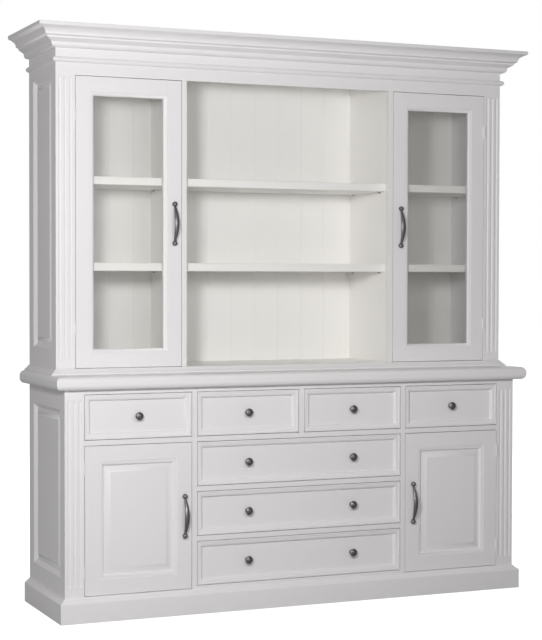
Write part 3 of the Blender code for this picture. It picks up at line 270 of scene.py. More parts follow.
def bare_wood(name, along):
    """Sanded bare wood whose grain runs along one axis."""
    ring = drawn_out(along, RING_SCALE)
    recipe = Recipe(name, IOR=1.45)
    bands = recipe.node(
        "ShaderNodeTexWave", {"wave_type": "BANDS", "bands_direction": "DIAGONAL"}, {
            "Vector": recipe.stretched(ring), "Scale": 1.0, "Distortion": 6.0, "Detail": 3.0,
            "Detail Scale": 1.2}, "Fac")
    pores = recipe.noise(drawn_out(along, PORE_SCALE), 2.0, 0.6)
    drift = recipe.noise([scale * 0.5 for scale in ring], 3.0)
    tint = bands * 0.55 + drift * 0.30 + pores * 0.15
    return recipe.finish(
        Base_Color=recipe.between(tint, *WOOD_TONES),
        Roughness=0.55 + pores * 0.2,
        Normal=recipe.relief(pores * 0.7 + bands * 0.3, WOOD_RELIEF))


wood_deep = bare_wood("bare_wood_deep", "y")
wood_level = bare_wood("bare_wood_level", "x")
print("bare wood made in 2 directions")

# %% [markdown]
# ## Pewter
# Knobs and handles are cast, tumbled and rubbed: a dark grey metal with a soft gloss,
# mottled where the casting skin stays and brighter where hands polish it. The groove that
# is turned into a knob keeps the dark skin, so it has tones of its own. The shelf pins are
# steel, from the same recipe.
# %% Pewter and steel
SKIN_RELIEF = 0.00008


def cast_metal(name, low, high, dull, bright):
    """Grey cast metal between two tones, dull in the skin and bright where it is rubbed."""
    recipe = Recipe(name, Metallic=1.0)
    skin = recipe.noise((420.0, 420.0, 420.0), 4.0, 0.6)
    patch = recipe.noise((90.0, 90.0, 90.0), 2.0)
    rub = skin * 0.45 + patch * 0.55
    return recipe.finish(
        Base_Color=recipe.between(rub, low, high),
        Roughness=dull - rub * (dull - bright),
        Normal=recipe.relief(skin, SKIN_RELIEF))


pewter = cast_metal("pewter_rubbed", (0.19, 0.19, 0.193), (0.30, 0.30, 0.304), 0.50, 0.38)
pewter_dark = cast_metal("pewter_skin", (0.06, 0.06, 0.061), (0.11, 0.11, 0.112), 0.60, 0.48)
steel = cast_metal("pin_steel", (0.42, 0.42, 0.42), (0.58, 0.58, 0.58), 0.4, 0.28)
print("metals made")

# %% [markdown]
# ## Window glass
# The panes are clear float glass, 4 mm thick. They hide almost nothing and take a breath of
# green from their own thickness. Alpha shows their pale base colour, which is painted
# reflection of a bright room, together with the shader's own gloss. A Fresnel node raises it
# at grazing angles, and a noise lifts it in patches, partly a faint film of dust and partly
# more painted reflection. Light crosses both faces of a pane on its way in and on its way
# out, so the cover is kept small, or the cupboards would go dark.
# %% Glass
COVER = {"clear": 0.035, "slant": 0.5, "dust_and_reflection": 0.02}


def float_glass():
    """Clear glass whose cover grows at grazing angles."""
    recipe = Recipe("float_glass", IOR=1.52)
    slant = recipe.node("ShaderNodeFresnel", {}, {"IOR": 1.5})
    dust_and_reflection = recipe.noise((9.0, 9.0, 6.0), 3.0)
    # The pale base colour that Alpha shows is painted reflection. There is more of it aslant and in
    # the dusty patches.
    return recipe.finish(
        Base_Color=recipe.between(dust_and_reflection, (0.86, 0.87, 0.83), (0.93, 0.94, 0.90)),
        Roughness=0.02 + dust_and_reflection * 0.05,
        Alpha=COVER["clear"] + slant * COVER["slant"] + dust_and_reflection * COVER["dust_and_reflection"])


glass = float_glass()
print("glass made")

# %% [markdown]
# ## Working on one piece at a time
# Blender's operators act on whatever is selected. These two helpers keep that under
# control: one leaves a single piece selected and active, the other opens it in edit mode
# with just the faces that are wanted, found by their normal or their place.
# %% Selecting
FACING = 0.99


def take(piece):
    """Leave just this piece selected and active."""
    bpy.ops.object.select_all(action="DESELECT")
    piece.select_set(True)
    bpy.context.view_layer.objects.active = piece


def open_on(piece, kind, wanted):
    """Open the piece in edit mode with the wanted faces, edges or points selected."""
    take(piece)
    bpy.ops.object.mode_set(mode="EDIT")
    bpy.ops.mesh.select_mode(type=kind)
    bpy.ops.mesh.select_all(action="DESELECT")
    bpy.ops.object.mode_set(mode="OBJECT")
    mesh = piece.data
    parts = {"FACE": mesh.polygons, "EDGE": mesh.edges, "VERT": mesh.vertices}[kind]
    for part in parts:
        part.select = wanted(part)
    bpy.ops.object.mode_set(mode="EDIT")


def close():
    """Leave edit mode."""
    bpy.ops.object.mode_set(mode="OBJECT")


def looks(direction):
    """A test for faces that look one way."""
    direction = Vector(direction)
    return lambda face: face.normal.dot(direction) > FACING


print("selection helpers are ready")

# %% [markdown]
# ## A board
# Nearly everything here is a planed board with its sharp edges just broken. A board is a
# cube added at its size and place, and a Bevel modifier, applied, takes the edges off. The
# thin shadow where two softened boards meet is what makes a painted joint look real.
# %% Boards
SOFT_EDGE = 0.0005
SOFT_EDGE_SEGMENTS = 2
EDGE_ANGLE = math.radians(50)


def rough_board(name, low, high, material):
    """A cube between two corners, with its place in its mesh."""
    low, high = Vector(low), Vector(high)
    bpy.ops.object.select_all(action="DESELECT")
    bpy.ops.mesh.primitive_cube_add(size=1, location=(low + high) / 2)
    piece = bpy.context.object
    piece.name = name
    piece.scale = high - low
    bpy.ops.object.transform_apply(location=True, rotation=True, scale=True)
    piece.data.materials.append(material)
    return piece


def apply(piece, modifier):
    """Apply a modifier that has just been set."""
    take(piece)
    bpy.ops.object.modifier_apply(modifier=modifier.name)


def soften(piece, width=SOFT_EDGE):
    """Break every sharp edge."""
    rounding = piece.modifiers.new("soft_edge", "BEVEL")
    rounding.width = width
    rounding.segments = SOFT_EDGE_SEGMENTS
    rounding.limit_method = "ANGLE"
    rounding.angle_limit = EDGE_ANGLE
    apply(piece, rounding)
    return piece


def board(name, low, high, material, edge=SOFT_EDGE):
    """A planed board with softened edges."""
    return soften(rough_board(name, low, high, material), edge)


print("boards are ready, with edges of", SOFT_EDGE * 1000, "mm")

# %% [markdown]
# ## Joining, cutting and handing over
# Boards that are glued together become one piece. A cut is a Boolean modifier, applied,
# whose cutter is then thrown away. When a piece is done, it is shaded smooth up to a sharp
# angle, its flat faces are kept flat by weighted normals, and it is handed to the body that
# carries it, in place of the solid that it refines.
# %% Joining, cutting and handing over
SHARP_ANGLE = math.radians(38)
finished = []


def join(name, parts):
    """Make one piece of several."""
    take(parts[0])
    for part in parts:
        part.select_set(True)
    if len(parts) > 1:
        bpy.ops.object.join()
    parts[0].name = name
    parts[0].data.name = name
    return parts[0]


def cut(piece, cutter):
    """Take the cutter's shape out of the piece."""
    saw = piece.modifiers.new("cut", "BOOLEAN")
    saw.operation = "DIFFERENCE"
    saw.solver = "EXACT"
    saw.object = cutter
    apply(piece, saw)
    bpy.data.objects.remove(cutter)
    return piece


def weld(piece, other):
    """Fuse another closed shape onto the piece."""
    glue = piece.modifiers.new("weld", "BOOLEAN")
    glue.operation = "UNION"
    glue.solver = "EXACT"
    glue.object = other
    apply(piece, glue)
    bpy.data.objects.remove(other)
    return piece


def copy(piece, name, shift):
    """A copy with its own mesh, moved from where the first stands."""
    twin = piece.copy()
    twin.data = piece.data.copy()
    twin.name = name
    bpy.context.scene.collection.objects.link(twin)
    twin.location = shift
    take(twin)
    bpy.ops.object.transform_apply(location=True, rotation=True, scale=True)
    return twin


def hand_over(piece, body, slot, *nodes):
    """Shade a finished piece and let it ride in place of its solids."""
    take(piece)
    bpy.ops.object.shade_smooth_by_angle(angle=SHARP_ANGLE)
    level = piece.modifiers.new("flat_faces", "WEIGHTED_NORMAL")
    level.keep_sharp = True
    apply(piece, level)
    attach(piece, body)
    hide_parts(*nodes)
    finished.append(piece)


print("joining, cutting and handing over are ready")

# %% [markdown]
# ## Curves for mouldings
# A joiner draws a moulding as quarter rounds, hollows and an S called an ogee. One function
# gives an arc of an ellipse as points. The others give small steps, each a width and a
# drop, which suits the inset operator: an ogee, a quarter round below the little step that
# a moulding plane leaves at its edge, and a bevel that turns ever steeper.
# %% Curves
def arc(centre, radii, start, end, steps):
    """Points along an ellipse, from start to end degrees."""
    points = []
    for step in range(steps + 1):
        angle = math.radians(start + (end - start) * step / steps)
        points.append((centre[0] + radii[0] * math.cos(angle),
                       centre[1] + radii[1] * math.sin(angle)))
    return points


def ogee(width, drop, count):
    """An S-shaped fall as (width, drop) steps."""
    def fall(share):
        return drop * share * share * (3 - 2 * share)
    return [(width / count, fall((k + 1) / count) - fall(k / count)) for k in range(count)]


def steps_between(line):
    """Turn points into the (width, drop) step from each to the next."""
    return [(after[0] - before[0], after[1] - before[1]) for before, after in zip(line, line[1:])]


QUIRK = (0.10, 0.20)


def quarter_round(width, drop, count):
    """A small step, then a quarter round that falls ever more steeply to its foot."""
    lead, step = QUIRK[0] * width, QUIRK[1] * drop
    line = [(0, 0), (lead / 2, step)]
    line += arc((lead, drop), (width - lead, drop - step), -90, 0, count)
    return steps_between(line)


def bevel(width, drop, count, power=1.64):
    """A bevel that starts flat and turns ever steeper, down or, with a minus drop, up."""
    shares = [k / count for k in range(count + 1)]
    return steps_between([(width * share, drop * share ** power) for share in shares])


print("an ogee in 4 steps:", [round(d, 3) for _, d in ogee(1, 1, 4)])
print("a quarter round in 4 steps:", [round(d, 3) for _, d in quarter_round(1, 1, 4)])

# %% [markdown]
# ## Panels and rings
# A raised panel and a drawer front have one flat face with a moulding cut round it. The
# inset operator does just that: each inset moves in by a width and sinks by a depth. A
# moulded ring, the strip round a door's opening, is the same with its middle taken out:
# the front is inset in steps, the back in one, and the two middles are bridged.
# %% Panels and rings
SMALL_STEP = 0.00005


def inset_steps(steps):
    """Inset the selected face again and again, sinking it by each drop."""
    for width, drop in steps:
        bpy.ops.mesh.inset(thickness=max(width, SMALL_STEP), depth=-drop)


def sunk_panel(name, low, high, steps, material):
    """A board whose front face, towards -Y, is moulded in steps."""
    piece = rough_board(name, low, high, material)
    open_on(piece, "FACE", looks((0, -1, 0)))
    inset_steps(steps)
    close()
    return piece


def ring(name, low, high, steps, material):
    """A moulded strip round a rectangle, mitred at its corners."""
    piece = sunk_panel(name, low, high, steps, material)
    open_on(piece, "FACE", looks((0, 1, 0)))
    bpy.ops.mesh.inset(thickness=sum(width for width, _ in steps), depth=0)
    close()
    middle = (Vector(low) + Vector(high)) / 2

    def is_middle(face):
        off = face.center - middle
        return abs(face.normal.y) > FACING and math.hypot(off.x, off.z) < SMALL_STEP
    open_on(piece, "FACE", is_middle)
    bpy.ops.mesh.bridge_edge_loops()
    close()
    return piece


print("panels and rings are ready")

# %% [markdown]
# ## Edges that run round three sides
# Cornice, worktop, skirting and the hutch's floor carry one moulding along the left side,
# the front and the right side, mitred at the corners, and are flat at the back. Extruding a
# face upwards and scaling it about the middle of the back edge gives exactly that.
# %% Three-sided mouldings
SAW_SPARE = 0.01


def moulded_slab(name, front, profile, material):
    """A block whose (out, z) profile, from bottom to top, runs round three sides."""
    depth = back - front
    out, z = profile[0]
    after_out, after_z = profile[1]
    piece = rough_board(name, (-half_width - out, front - out, z),
                        (half_width + out, back, max(after_z, z + SMALL_STEP)), material)
    open_on(piece, "FACE", looks((0, 0, 1)))
    grow_to(out, after_out, depth, after_z)
    for (out, z), (after_out, after_z) in zip(profile[1:], profile[2:]):
        bpy.ops.mesh.extrude_region_move(TRANSFORM_OT_translate={"value": (0, 0, after_z - z)})
        grow_to(out, after_out, depth, after_z)
    close()
    return piece


def grow_to(out, after_out, depth, z):
    """Scale the selected face, about the back edge's middle, from one projection to the next."""
    across = (half_width + after_out) / (half_width + out)
    along = (depth + after_out) / (depth + out)
    bpy.ops.transform.resize(value=(across, along, 1), center_override=(0, back, z))


def moulded_edging(name, front, profile, material, sunk=FIT):
    """The same moulding as a strip: the block inside it is cut away."""
    piece = moulded_slab(name, front, profile, material)
    foot, head = profile[0][1] - SAW_SPARE, profile[-1][1] + SAW_SPARE
    inside = rough_board("inside", (-half_width + sunk, front + sunk, foot),
                         (half_width - sunk, back + SAW_SPARE, head), material)
    return cut(piece, inside)


print("three-sided mouldings are ready")

# %% [markdown]
# ## Turning
# Knobs, pins and hinge barrels are turned on a lathe. A plane merged to one point is
# extruded from point to point along the profile, and the spin operator turns that line
# round the axis. Spin can leave a shape inside out, so its doubles are merged and its
# normals recalculated.
# %% Turning
DOUBLES = 0.00001


def turned(name, profile, sides, material, axis=(0, -1, 0), across=(1, 0, 0)):
    """Spin a profile of (radius, height) points round an axis through the origin."""
    axis, across = Vector(axis), Vector(across)
    points = [across * radius + axis * height for radius, height in profile]
    bpy.ops.object.select_all(action="DESELECT")
    bpy.ops.mesh.primitive_plane_add(size=0.01, location=(0, 0, 0))
    piece = bpy.context.object
    piece.name = name
    open_on(piece, "VERT", lambda point: True)
    bpy.ops.mesh.merge(type="CENTER")
    bpy.ops.transform.translate(value=points[0])
    for before, after in zip(points, points[1:]):
        bpy.ops.mesh.extrude_region_move(TRANSFORM_OT_translate={"value": after - before})
    bpy.ops.mesh.select_all(action="SELECT")
    bpy.ops.mesh.spin(steps=sides, angle=math.tau, center=(0, 0, 0), axis=axis)
    bpy.ops.mesh.select_all(action="SELECT")
    bpy.ops.mesh.remove_doubles(threshold=DOUBLES)
    bpy.ops.mesh.normals_make_consistent(inside=False)
    close()
    piece.data.materials.append(material)
    return piece


print("the lathe is ready")

# %% [markdown]
# ## Fluted pilasters
# Each corner post carries three flutes, broad shallow grooves whose ends are rounded. A
# ball-nose cutter makes them, so the cutter here is a ball whose upper half is drawn up to
# the flute's length, and one Boolean takes three of them out of the post. They are cut
# rather than painted on, because it is their edges that catch the light.
# %% Fluted pilasters
BALL_SEGMENTS, BALL_RINGS = 32, 16
FLUTE_RADIUS = 0.0075
FLUTE_STAND_OFF = 0.0045
FLUTE_PITCH = 0.0209
FLUTE_END_MARGIN = 0.037
FLUTE_HUTCH_MARGIN = 0.030
FLUTE_UNDER_FRIEZE = 0.005


def flute_cutter(x, y, bottom, top):
    """A round-ended rod between two heights."""
    bpy.ops.object.select_all(action="DESELECT")
    bpy.ops.mesh.primitive_uv_sphere_add(
        segments=BALL_SEGMENTS, ring_count=BALL_RINGS, radius=FLUTE_RADIUS,
        location=(x, y, bottom + FLUTE_RADIUS))
    rod = bpy.context.object
    bpy.ops.object.transform_apply(location=True, rotation=True, scale=True)
    open_on(rod, "FACE", lambda face: face.center.z > bottom + FLUTE_RADIUS)
    bpy.ops.mesh.extrude_region_move(
        TRANSFORM_OT_translate={"value": (0, 0, top - bottom - 2 * FLUTE_RADIUS)})
    close()
    return rod


def pilaster(sign, front, foot, head, flute_foot, flute_head):
    """A corner post with three flutes."""
    near, far = span(sign, opening_outer, half_width)
    post = board("pilaster", (near, front, foot), (far, front + BOARD, head), paint_up)
    middle = (near + far) / 2
    rods = [flute_cutter(middle + place * FLUTE_PITCH, front - FLUTE_STAND_OFF,
                         flute_foot, flute_head) for place in (-1, 0, 1)]
    return cut(post, join("flute_cutters", rods))


flute_width = 2 * math.sqrt(FLUTE_RADIUS ** 2 - FLUTE_STAND_OFF ** 2)
print("a flute is", round(flute_width * 1000, 1), "mm wide")

# %% [markdown]
# ## Lift-off hinges
# The doors hang on slim painted hinges: the lower half with its pin belongs to the post,
# the upper half with its bore to the door, and the door lifts off when it is open. Both
# halves are turned, and a short leaf ties each to its edge. A leaf is given by where it
# starts and ends beside the barrel's axis, and how far above the barrel's joint it begins.
# %% Hinges
HINGE_RADIUS = 0.0032
HINGE_OUT = HINGE_RADIUS + FIT
HINGE_SIDES = 20
HINGE_INSETS = {"lower_door": 0.085, "glass_door": 0.150}
FIXED_LEAF = (0.0, 0.004, -0.0216)
MOVING_LEAF = (-0.0025, -0.004, 0.0024)
LEAF_HEIGHT = 0.0192
LEAF_BEHIND = 0.002
LEAF_EDGE = 0.0002
fixed_barrel = turned("fixed_barrel", [
    (0, -0.0240), (0.0020, -0.0239), (0.0029, -0.0233), (0.0032, -0.0225), (0.0032, -0.0006),
    (0.0027, 0), (0.0014, 0), (0.0014, 0.0155), (0.0010, 0.0160), (0, 0.0160)],
    HINGE_SIDES, paint_up, (0, 0, 1))
moving_barrel = turned("moving_barrel", [
    (0, 0.0240), (0.0020, 0.0239), (0.0029, 0.0233), (0.0032, 0.0225), (0.0032, 0.0012),
    (0.0027, 0.0006), (0.0018, 0.0006), (0.0018, 0.0180), (0, 0.0180)],
    HINGE_SIDES, paint_up, (0, 0, 1))


def hinges(kind, sign, front, bottom, top, moving):
    """The two hinge halves of one door, on the post or on the door."""
    parts = []
    x = sign * (opening_outer - FRONT_GAP / 2)
    y = front - HINGE_OUT
    barrel = moving_barrel if moving else fixed_barrel
    start, end, lift = MOVING_LEAF if moving else FIXED_LEAF
    for z in (bottom + HINGE_INSETS[kind], top - HINGE_INSETS[kind]):
        parts.append(copy(barrel, "barrel", (x, y, z)))
        near, far = sorted((x + sign * start, x + sign * end))
        foot = z + lift
        parts.append(board("leaf", (near, y, foot), (far, front + LEAF_BEHIND, foot + LEAF_HEIGHT),
                           paint_up, LEAF_EDGE))
    return parts


print("hinge barrels have", len(fixed_barrel.data.polygons), "faces")

# %% [markdown]
# ## Where the doors and drawers are
# The frame's rails and stiles fill what the fronts leave. Each front's opening is its box
# grown by the gap round it. A door's frame node also holds hinges, so a door is found from
# the panel or pane inside it, grown by how far the frame stands round that.
# %% Openings
PANEL_IN_FRAME = {"lower_door": 0.061, "glass_door": 0.061}
PANEL_NODES = {"lower_door": "lower_door_panel_", "glass_door": "glass_pane_"}
DRAWERS = ["left", "centre_left", "centre_right", "right", "wide_top", "wide_middle", "wide_bottom"]
LEFT, RIGHT, FOOT, HEAD = range(4)


def rectangle(node, grow):
    """A node's (left, right, bottom, top), grown on every side."""
    low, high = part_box(node)
    return low.x - grow, high.x + grow, low.z - grow, high.z + grow


doors = {}
for kind in PANEL_NODES:
    for side in SIDES:
        doors[kind, side] = rectangle(PANEL_NODES[kind] + side, PANEL_IN_FRAME[kind])
fronts = {name: rectangle("drawer_front_" + name, 0) for name in DRAWERS}
print("doors:", {key: round(value[HEAD] - value[FOOT], 3) for key, value in doors.items()})

# %% [markdown]
# ## The lower face frame
# Posts, stiles and rails are separate boards, tenoned and glued. The long bottom rail
# passes under everything, the short lip on it closes the drawers' bay, and the rails
# between the drawers are slim. Their places follow from the fronts.
# %% Lower face frame
def edge_of(name, which):
    """One edge of a drawer's opening: LEFT, RIGHT, FOOT or HEAD."""
    grow = (-FRONT_GAP, FRONT_GAP, -FRONT_GAP, FRONT_GAP)[which]
    return fronts[name][which] + grow


def rail(x_low, x_high, z_low, z_high, front):
    """A level board of a face frame."""
    return board("rail", (x_low, front, z_low), (x_high, front + BOARD, z_high), paint_level)


def stile(x_low, x_high, z_low, z_high, front):
    """An upright board of a face frame."""
    return board("stile", (x_low, front, z_low), (x_high, front + BOARD, z_high), paint_up)


door_foot = doors["lower_door", "left"][FOOT] - FRONT_GAP
top_rail_foot = edge_of("left", HEAD)
parts = [rail(-opening_outer, opening_outer, 0, door_foot, base_front),
         rail(-opening_outer, opening_outer, top_rail_foot, base_top, base_front),
         rail(-centre_half, centre_half, door_foot, edge_of("wide_bottom", FOOT), base_front),
         stile(edge_of("centre_left", RIGHT), edge_of("centre_right", LEFT), edge_of("left", FOOT),
               top_rail_foot, base_front)]
stack = ["left", "wide_top", "wide_middle", "wide_bottom"]
for above, below in zip(stack, stack[1:]):
    parts.append(rail(-centre_half, centre_half, edge_of(below, HEAD), edge_of(above, FOOT),
                      base_front))
for side, sign in SIDES.items():
    parts.append(pilaster(sign, base_front, 0, base_top, plinth_top + FLUTE_END_MARGIN,
                          base_top - FLUTE_END_MARGIN))
    near, far = span(sign, centre_half, opening_inner)
    parts.append(stile(near, far, door_foot, top_rail_foot, base_front))
    near, far = span(sign, opening_inner, opening_outer)
    door_head = doors["lower_door", side][HEAD] + FRONT_GAP
    parts.append(rail(near, far, door_head, edge_of(side, FOOT), base_front))
    parts += hinges("lower_door", sign, base_front, door_foot, door_head, moving=False)
lower_frame = join("lower_face_frame", parts)
hand_over(lower_frame, "cabinet", "white_paint", "base_face_frame")
print("lower face frame:", len(lower_frame.data.polygons), "faces")

# %% [markdown]
# ## The upper face frame and its bead
# The upper frame has posts, two stiles and one deep frieze rail, and is open at its foot,
# where it stands on the hutch's floor. A half-round bead, the astragal, crosses the frieze
# and returns along both sides.
# %% Upper face frame
ASTRAGAL_HEIGHT = 0.020
ASTRAGAL_PROJECTION = 0.013
ASTRAGAL_DROP = 0.042
ASTRAGAL_LIP = 0.0004
ASTRAGAL_SUNK = 0.001

parts = [rail(-opening_outer, opening_outer, ceiling, carcass_top, hutch_front)]
for side, sign in SIDES.items():
    parts.append(pilaster(sign, hutch_front, carcass_foot, carcass_top,
                          hutch_floor + FLUTE_HUTCH_MARGIN, ceiling - FLUTE_UNDER_FRIEZE))
    near, far = span(sign, centre_half, opening_inner)
    parts.append(stile(near, far, carcass_foot, ceiling, hutch_front))
    parts += hinges("glass_door", sign, hutch_front, hutch_floor, ceiling, moving=False)
upper_frame = join("upper_face_frame", parts)
hand_over(upper_frame, "cabinet", "white_paint", "hutch_face_frame")

bead_middle = cornice_foot - ASTRAGAL_DROP
half_bead = ASTRAGAL_HEIGHT / 2
bead_line = [(ASTRAGAL_LIP, bead_middle - half_bead)]
bead_line += arc((ASTRAGAL_SUNK, bead_middle), (ASTRAGAL_PROJECTION - ASTRAGAL_SUNK, half_bead),
                 -90, 90, 14)
bead_line.append((ASTRAGAL_LIP, bead_middle + half_bead))
astragal = moulded_edging("astragal", hutch_front, bead_line, paint_level, sunk=ASTRAGAL_SUNK)
hand_over(astragal, "cabinet", "white_paint",
          "hutch_face_frame", "hutch_side_left", "hutch_side_right")
print("upper face frame:", len(upper_frame.data.polygons), "faces")

# %% [markdown]
# ## Frame and panel
# Doors and sides are framed: stiles, rails, a moulded ring round the opening and a panel
# that floats in it, because solid wood swells and shrinks. One helper makes the frame lying
# at the origin with its face towards the front. A side is then turned a quarter and moved.
# The ring lies a hair behind the frame's face, so that the two never fight for one plane.
# %% Frames
RING_BACK = 0.0002
RING_LIP = 0.0004
RING_SPARE = 0.0001


def framework(width, height, stiles, rails, sticking, level_material, mould=quarter_round):
    """Stiles, rails and moulded ring, from the origin, facing -Y."""
    left, right = stiles
    low, high = rails
    ring_width, ring_depth = sticking
    return [
        board("stile", (0, 0, 0), (left, BOARD, height), paint_up),
        board("stile", (width - right, 0, 0), (width, BOARD, height), paint_up),
        board("rail", (left, 0, 0), (width - right, BOARD, low), level_material),
        board("rail", (left, 0, height - high), (width - right, BOARD, height), level_material),
        ring("sticking", (left, RING_BACK, low),
             (width - right, ring_depth + RING_SPARE, height - high),
             [(RING_LIP, -RING_BACK)] + mould(ring_width - RING_LIP, ring_depth, 10), paint_up)]


def settle(piece, place, turn=0.0):
    """Move and turn a piece, and put its new place into its mesh."""
    piece.location = place
    piece.rotation_euler = (0, 0, turn)
    take(piece)
    bpy.ops.object.transform_apply(location=True, rotation=True, scale=True)
    return piece


print("frames are ready")

# %% [markdown]
# ## The framed sides
# Each side has a fielded panel: from the ring a narrow flat margin leads to a hollow bevel
# that rises to the field. The inner face is flush. The lower sides also carry the runner and
# guide of a small drawer, screwed on and left bare. The head rail of an upper side is
# measured from the cornice down, because the cornice covers the rest of it.
# %% Sides
SIDE_FRONT_STILE = 0.0342
SIDE_BACK_STILE = 0.060
LOWER_SIDE_RAILS = (0.160, 0.0735)
UPPER_SIDE_RAILS = (0.071, 0.092)
SIDE_STICKING = (0.016, 0.0125)
SIDE_FIELD = {"margin": 0.007, "slope": 0.021, "rise": 0.008}


def side_mould(width, drop, count):
    """The sides' sticking: a nearly straight bevel."""
    return bevel(width, drop, count, 1.15)


def side(name, sign, front, bottom, top, rails):
    """A framed side with its fielded panel, in place."""
    width, height = back - front, top - bottom
    stiles = (SIDE_FRONT_STILE, SIDE_BACK_STILE)
    if sign < 0:
        stiles = (SIDE_BACK_STILE, SIDE_FRONT_STILE)
    parts = framework(width, height, stiles, rails, SIDE_STICKING, paint_deep, side_mould)
    ring_width, ring_depth = SIDE_STICKING
    field = [(ring_width + SIDE_FIELD["margin"], 0)]
    field += bevel(SIDE_FIELD["slope"], -SIDE_FIELD["rise"], 8)
    parts.append(sunk_panel("panel", (stiles[0], ring_depth, rails[0]),
                            (width - stiles[1], BOARD, height - rails[1]), field, paint_up))
    piece = join(name, parts)
    start = front if sign > 0 else back
    return settle(piece, (sign * half_width, start, bottom), sign * math.pi / 2)


base_inside = base_front + BOARD + FIT
hutch_inside = hutch_front + BOARD + FIT
inside_back = back - BACK_BOARD - FIT
upper_rails = (UPPER_SIDE_RAILS[0], carcass_top - cornice_foot + UPPER_SIDE_RAILS[1])
for label, sign in SIDES.items():
    lower = side("lower_side_" + label, sign, base_inside, 0, base_top, LOWER_SIDE_RAILS)
    hand_over(lower, "cabinet", "white_paint", "base_side_" + label)
    upper = side("upper_side_" + label, sign, hutch_inside, carcass_foot, carcass_top,
                 upper_rails)
    hand_over(upper, "cabinet", "white_paint", "hutch_side_" + label)
print("sides:", [piece.name for piece in finished if "side" in piece.name])

# %% [markdown]
# ## Mouldings of the carcass
# The skirting hides where the lower unit meets the floor. The worktop has a fat double
# round nose, the hutch's floor a lip and a hollow bevel, and the cornice a round bead, a
# bevel, a fillet, a deep hollow and a lip. All four are drawn as (out, z) lines and run
# round three sides. The cornice drops over the hutch like a lid, so a pocket is cut into it
# from below. The hollow of the hutch's floor and the whole cornice are given in shares of
# their own reach and height, so they keep their form at any size.
# %% Skirting, worktop, hutch floor
PLINTH_OUT = 0.0213
PLINTH_FLAT = 0.072
PLINTH_LIP = 0.004
PLINTH_EDGE = 0.0008
NOSE = (0.018, 0.020)
FLOOR_OUT = 0.021
FLOOR_HOLLOW = ((3.04, 3.0), (3.567, 3.405), 235.2, 216.4, 12)

rise = plinth_top - PLINTH_FLAT
skirting_line = [(PLINTH_OUT - PLINTH_EDGE, 0), (PLINTH_OUT, PLINTH_EDGE),
                 (PLINTH_OUT, PLINTH_FLAT)]
z, out = PLINTH_FLAT, PLINTH_OUT
for step_up, step_in in ogee(rise, PLINTH_OUT - PLINTH_LIP, 12):
    z, out = z + step_up, out - step_in
    skirting_line.append((out, z))
skirting = moulded_edging("skirting", base_front, skirting_line, paint_level)
hand_over(skirting, "cabinet", "white_paint", "plinth")

top_low, top_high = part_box("countertop")
overhang = base_front - top_low.y
worktop_line = arc((overhang - NOSE[0], top_low.z + NOSE[1]), NOSE, -90, 0, 12)
worktop_line += arc((overhang - NOSE[0], top_high.z - NOSE[1]), NOSE, 0, 90, 12)
worktop = moulded_slab("worktop", base_front, worktop_line, paint_level)
hand_over(worktop, "cabinet", "white_paint", "countertop")

floor_low, floor_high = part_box("hutch_bottom_board")
thick = floor_high.z - floor_low.z
shares = [(1, 0), *arc(*FLOOR_HOLLOW)]
shares.append((shares[-1][0], 1))
floor_line = [(out * FLOOR_OUT, floor_low.z + up * thick) for out, up in shares]
hutch_base = moulded_slab("hutch_floor", hutch_front, floor_line, paint_level)
# The floor's upward faces, inside the niche, take the lighter, warmer niche white: painted bounce
# light.
hutch_base.data.materials.append(paint_niche_painted_bounce)
for face in hutch_base.data.polygons:
    if face.normal.z > FACING:
        face.material_index = 1
hand_over(hutch_base, "cabinet", "white_paint", "hutch_bottom_board")
print("skirting, worktop and hutch floor made")

# %% Cornice
LID = 0.020
CROWN_BEAD = ((0.085, 0.167), (0.168, 0.167), -90, 0, 10)
CROWN_BEVEL_AND_FILLET = ((0.2575, 0.232), (0.503, 0.381), (0.509, 0.446), (0.617, 0.494))
CROWN_HOLLOW = ((1.305, 0.512), (0.677, 0.371), 180, 120, 12)
CROWN_LIP = ((0.988, 0.851), (1.0, 0.875), (1.0, 0.986), (0.99, 1.0))
DUST_BOARD_SEAM = [(0.030, 0), (0.0006, 0.0012), (0.0006, -0.0012)]
TOP_AREA = 0.5

cornice_low, cornice_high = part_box("cornice")
reach = hutch_front - cornice_low.y
height = cornice_high.z - cornice_low.z
shares = [*arc(*CROWN_BEAD), *CROWN_BEVEL_AND_FILLET, *arc(*CROWN_HOLLOW), *CROWN_LIP]
cornice_line = [(out * reach, cornice_low.z + up * height) for out, up in shares]
crown = moulded_slab("crown", hutch_front, cornice_line, paint_level)
open_on(crown, "FACE", lambda face: face.normal.z > FACING and face.area > TOP_AREA)
inset_steps(DUST_BOARD_SEAM)
close()
pocket = rough_board("pocket", (-half_width - FIT, hutch_front - FIT, cornice_low.z - LID),
                     (half_width + FIT, back + LID, cornice_high.z - LID), paint_level)
cut(crown, pocket)
hand_over(crown, "cabinet", "white_paint", "cornice")
print("cornice:", len(crown.data.polygons), "faces")

# %% [markdown]
# ## Inside the lower unit
# Two partitions stand beside the stack of drawers, and every drawer slides on bare wooden
# runners screwed to whatever stands beside it. A short divider hangs between the two small
# centre drawers, carried by the back panel.
# %% Partitions, runners, back panel
RUNNER = {"height": 0.009, "under": 0.004, "drawer_gap": 0.003, "wall": 0.012}
GUIDE = {"height": 0.020, "gap": 0.0015}
DIVIDER = 0.012
APART = 0.0001
PARTITION = 0.018

runner_reach = RUNNER["drawer_gap"] + RUNNER["wall"] + RUNNER["under"]
partition_outer = (opening_inner + centre_half + PARTITION) / 2
partition_inner = partition_outer - PARTITION
row_feet = [edge_of(name, FOOT) for name in stack]


def runner(x_low, x_high, foot, head=None):
    """A strip of wood from front to back; without a head, one with its top at the foot."""
    if head is None:
        foot, head = foot - RUNNER["height"], foot
    return board("runner", (x_low, base_inside + FIT, foot), (x_high, inside_back - FIT, head),
                 wood_deep)


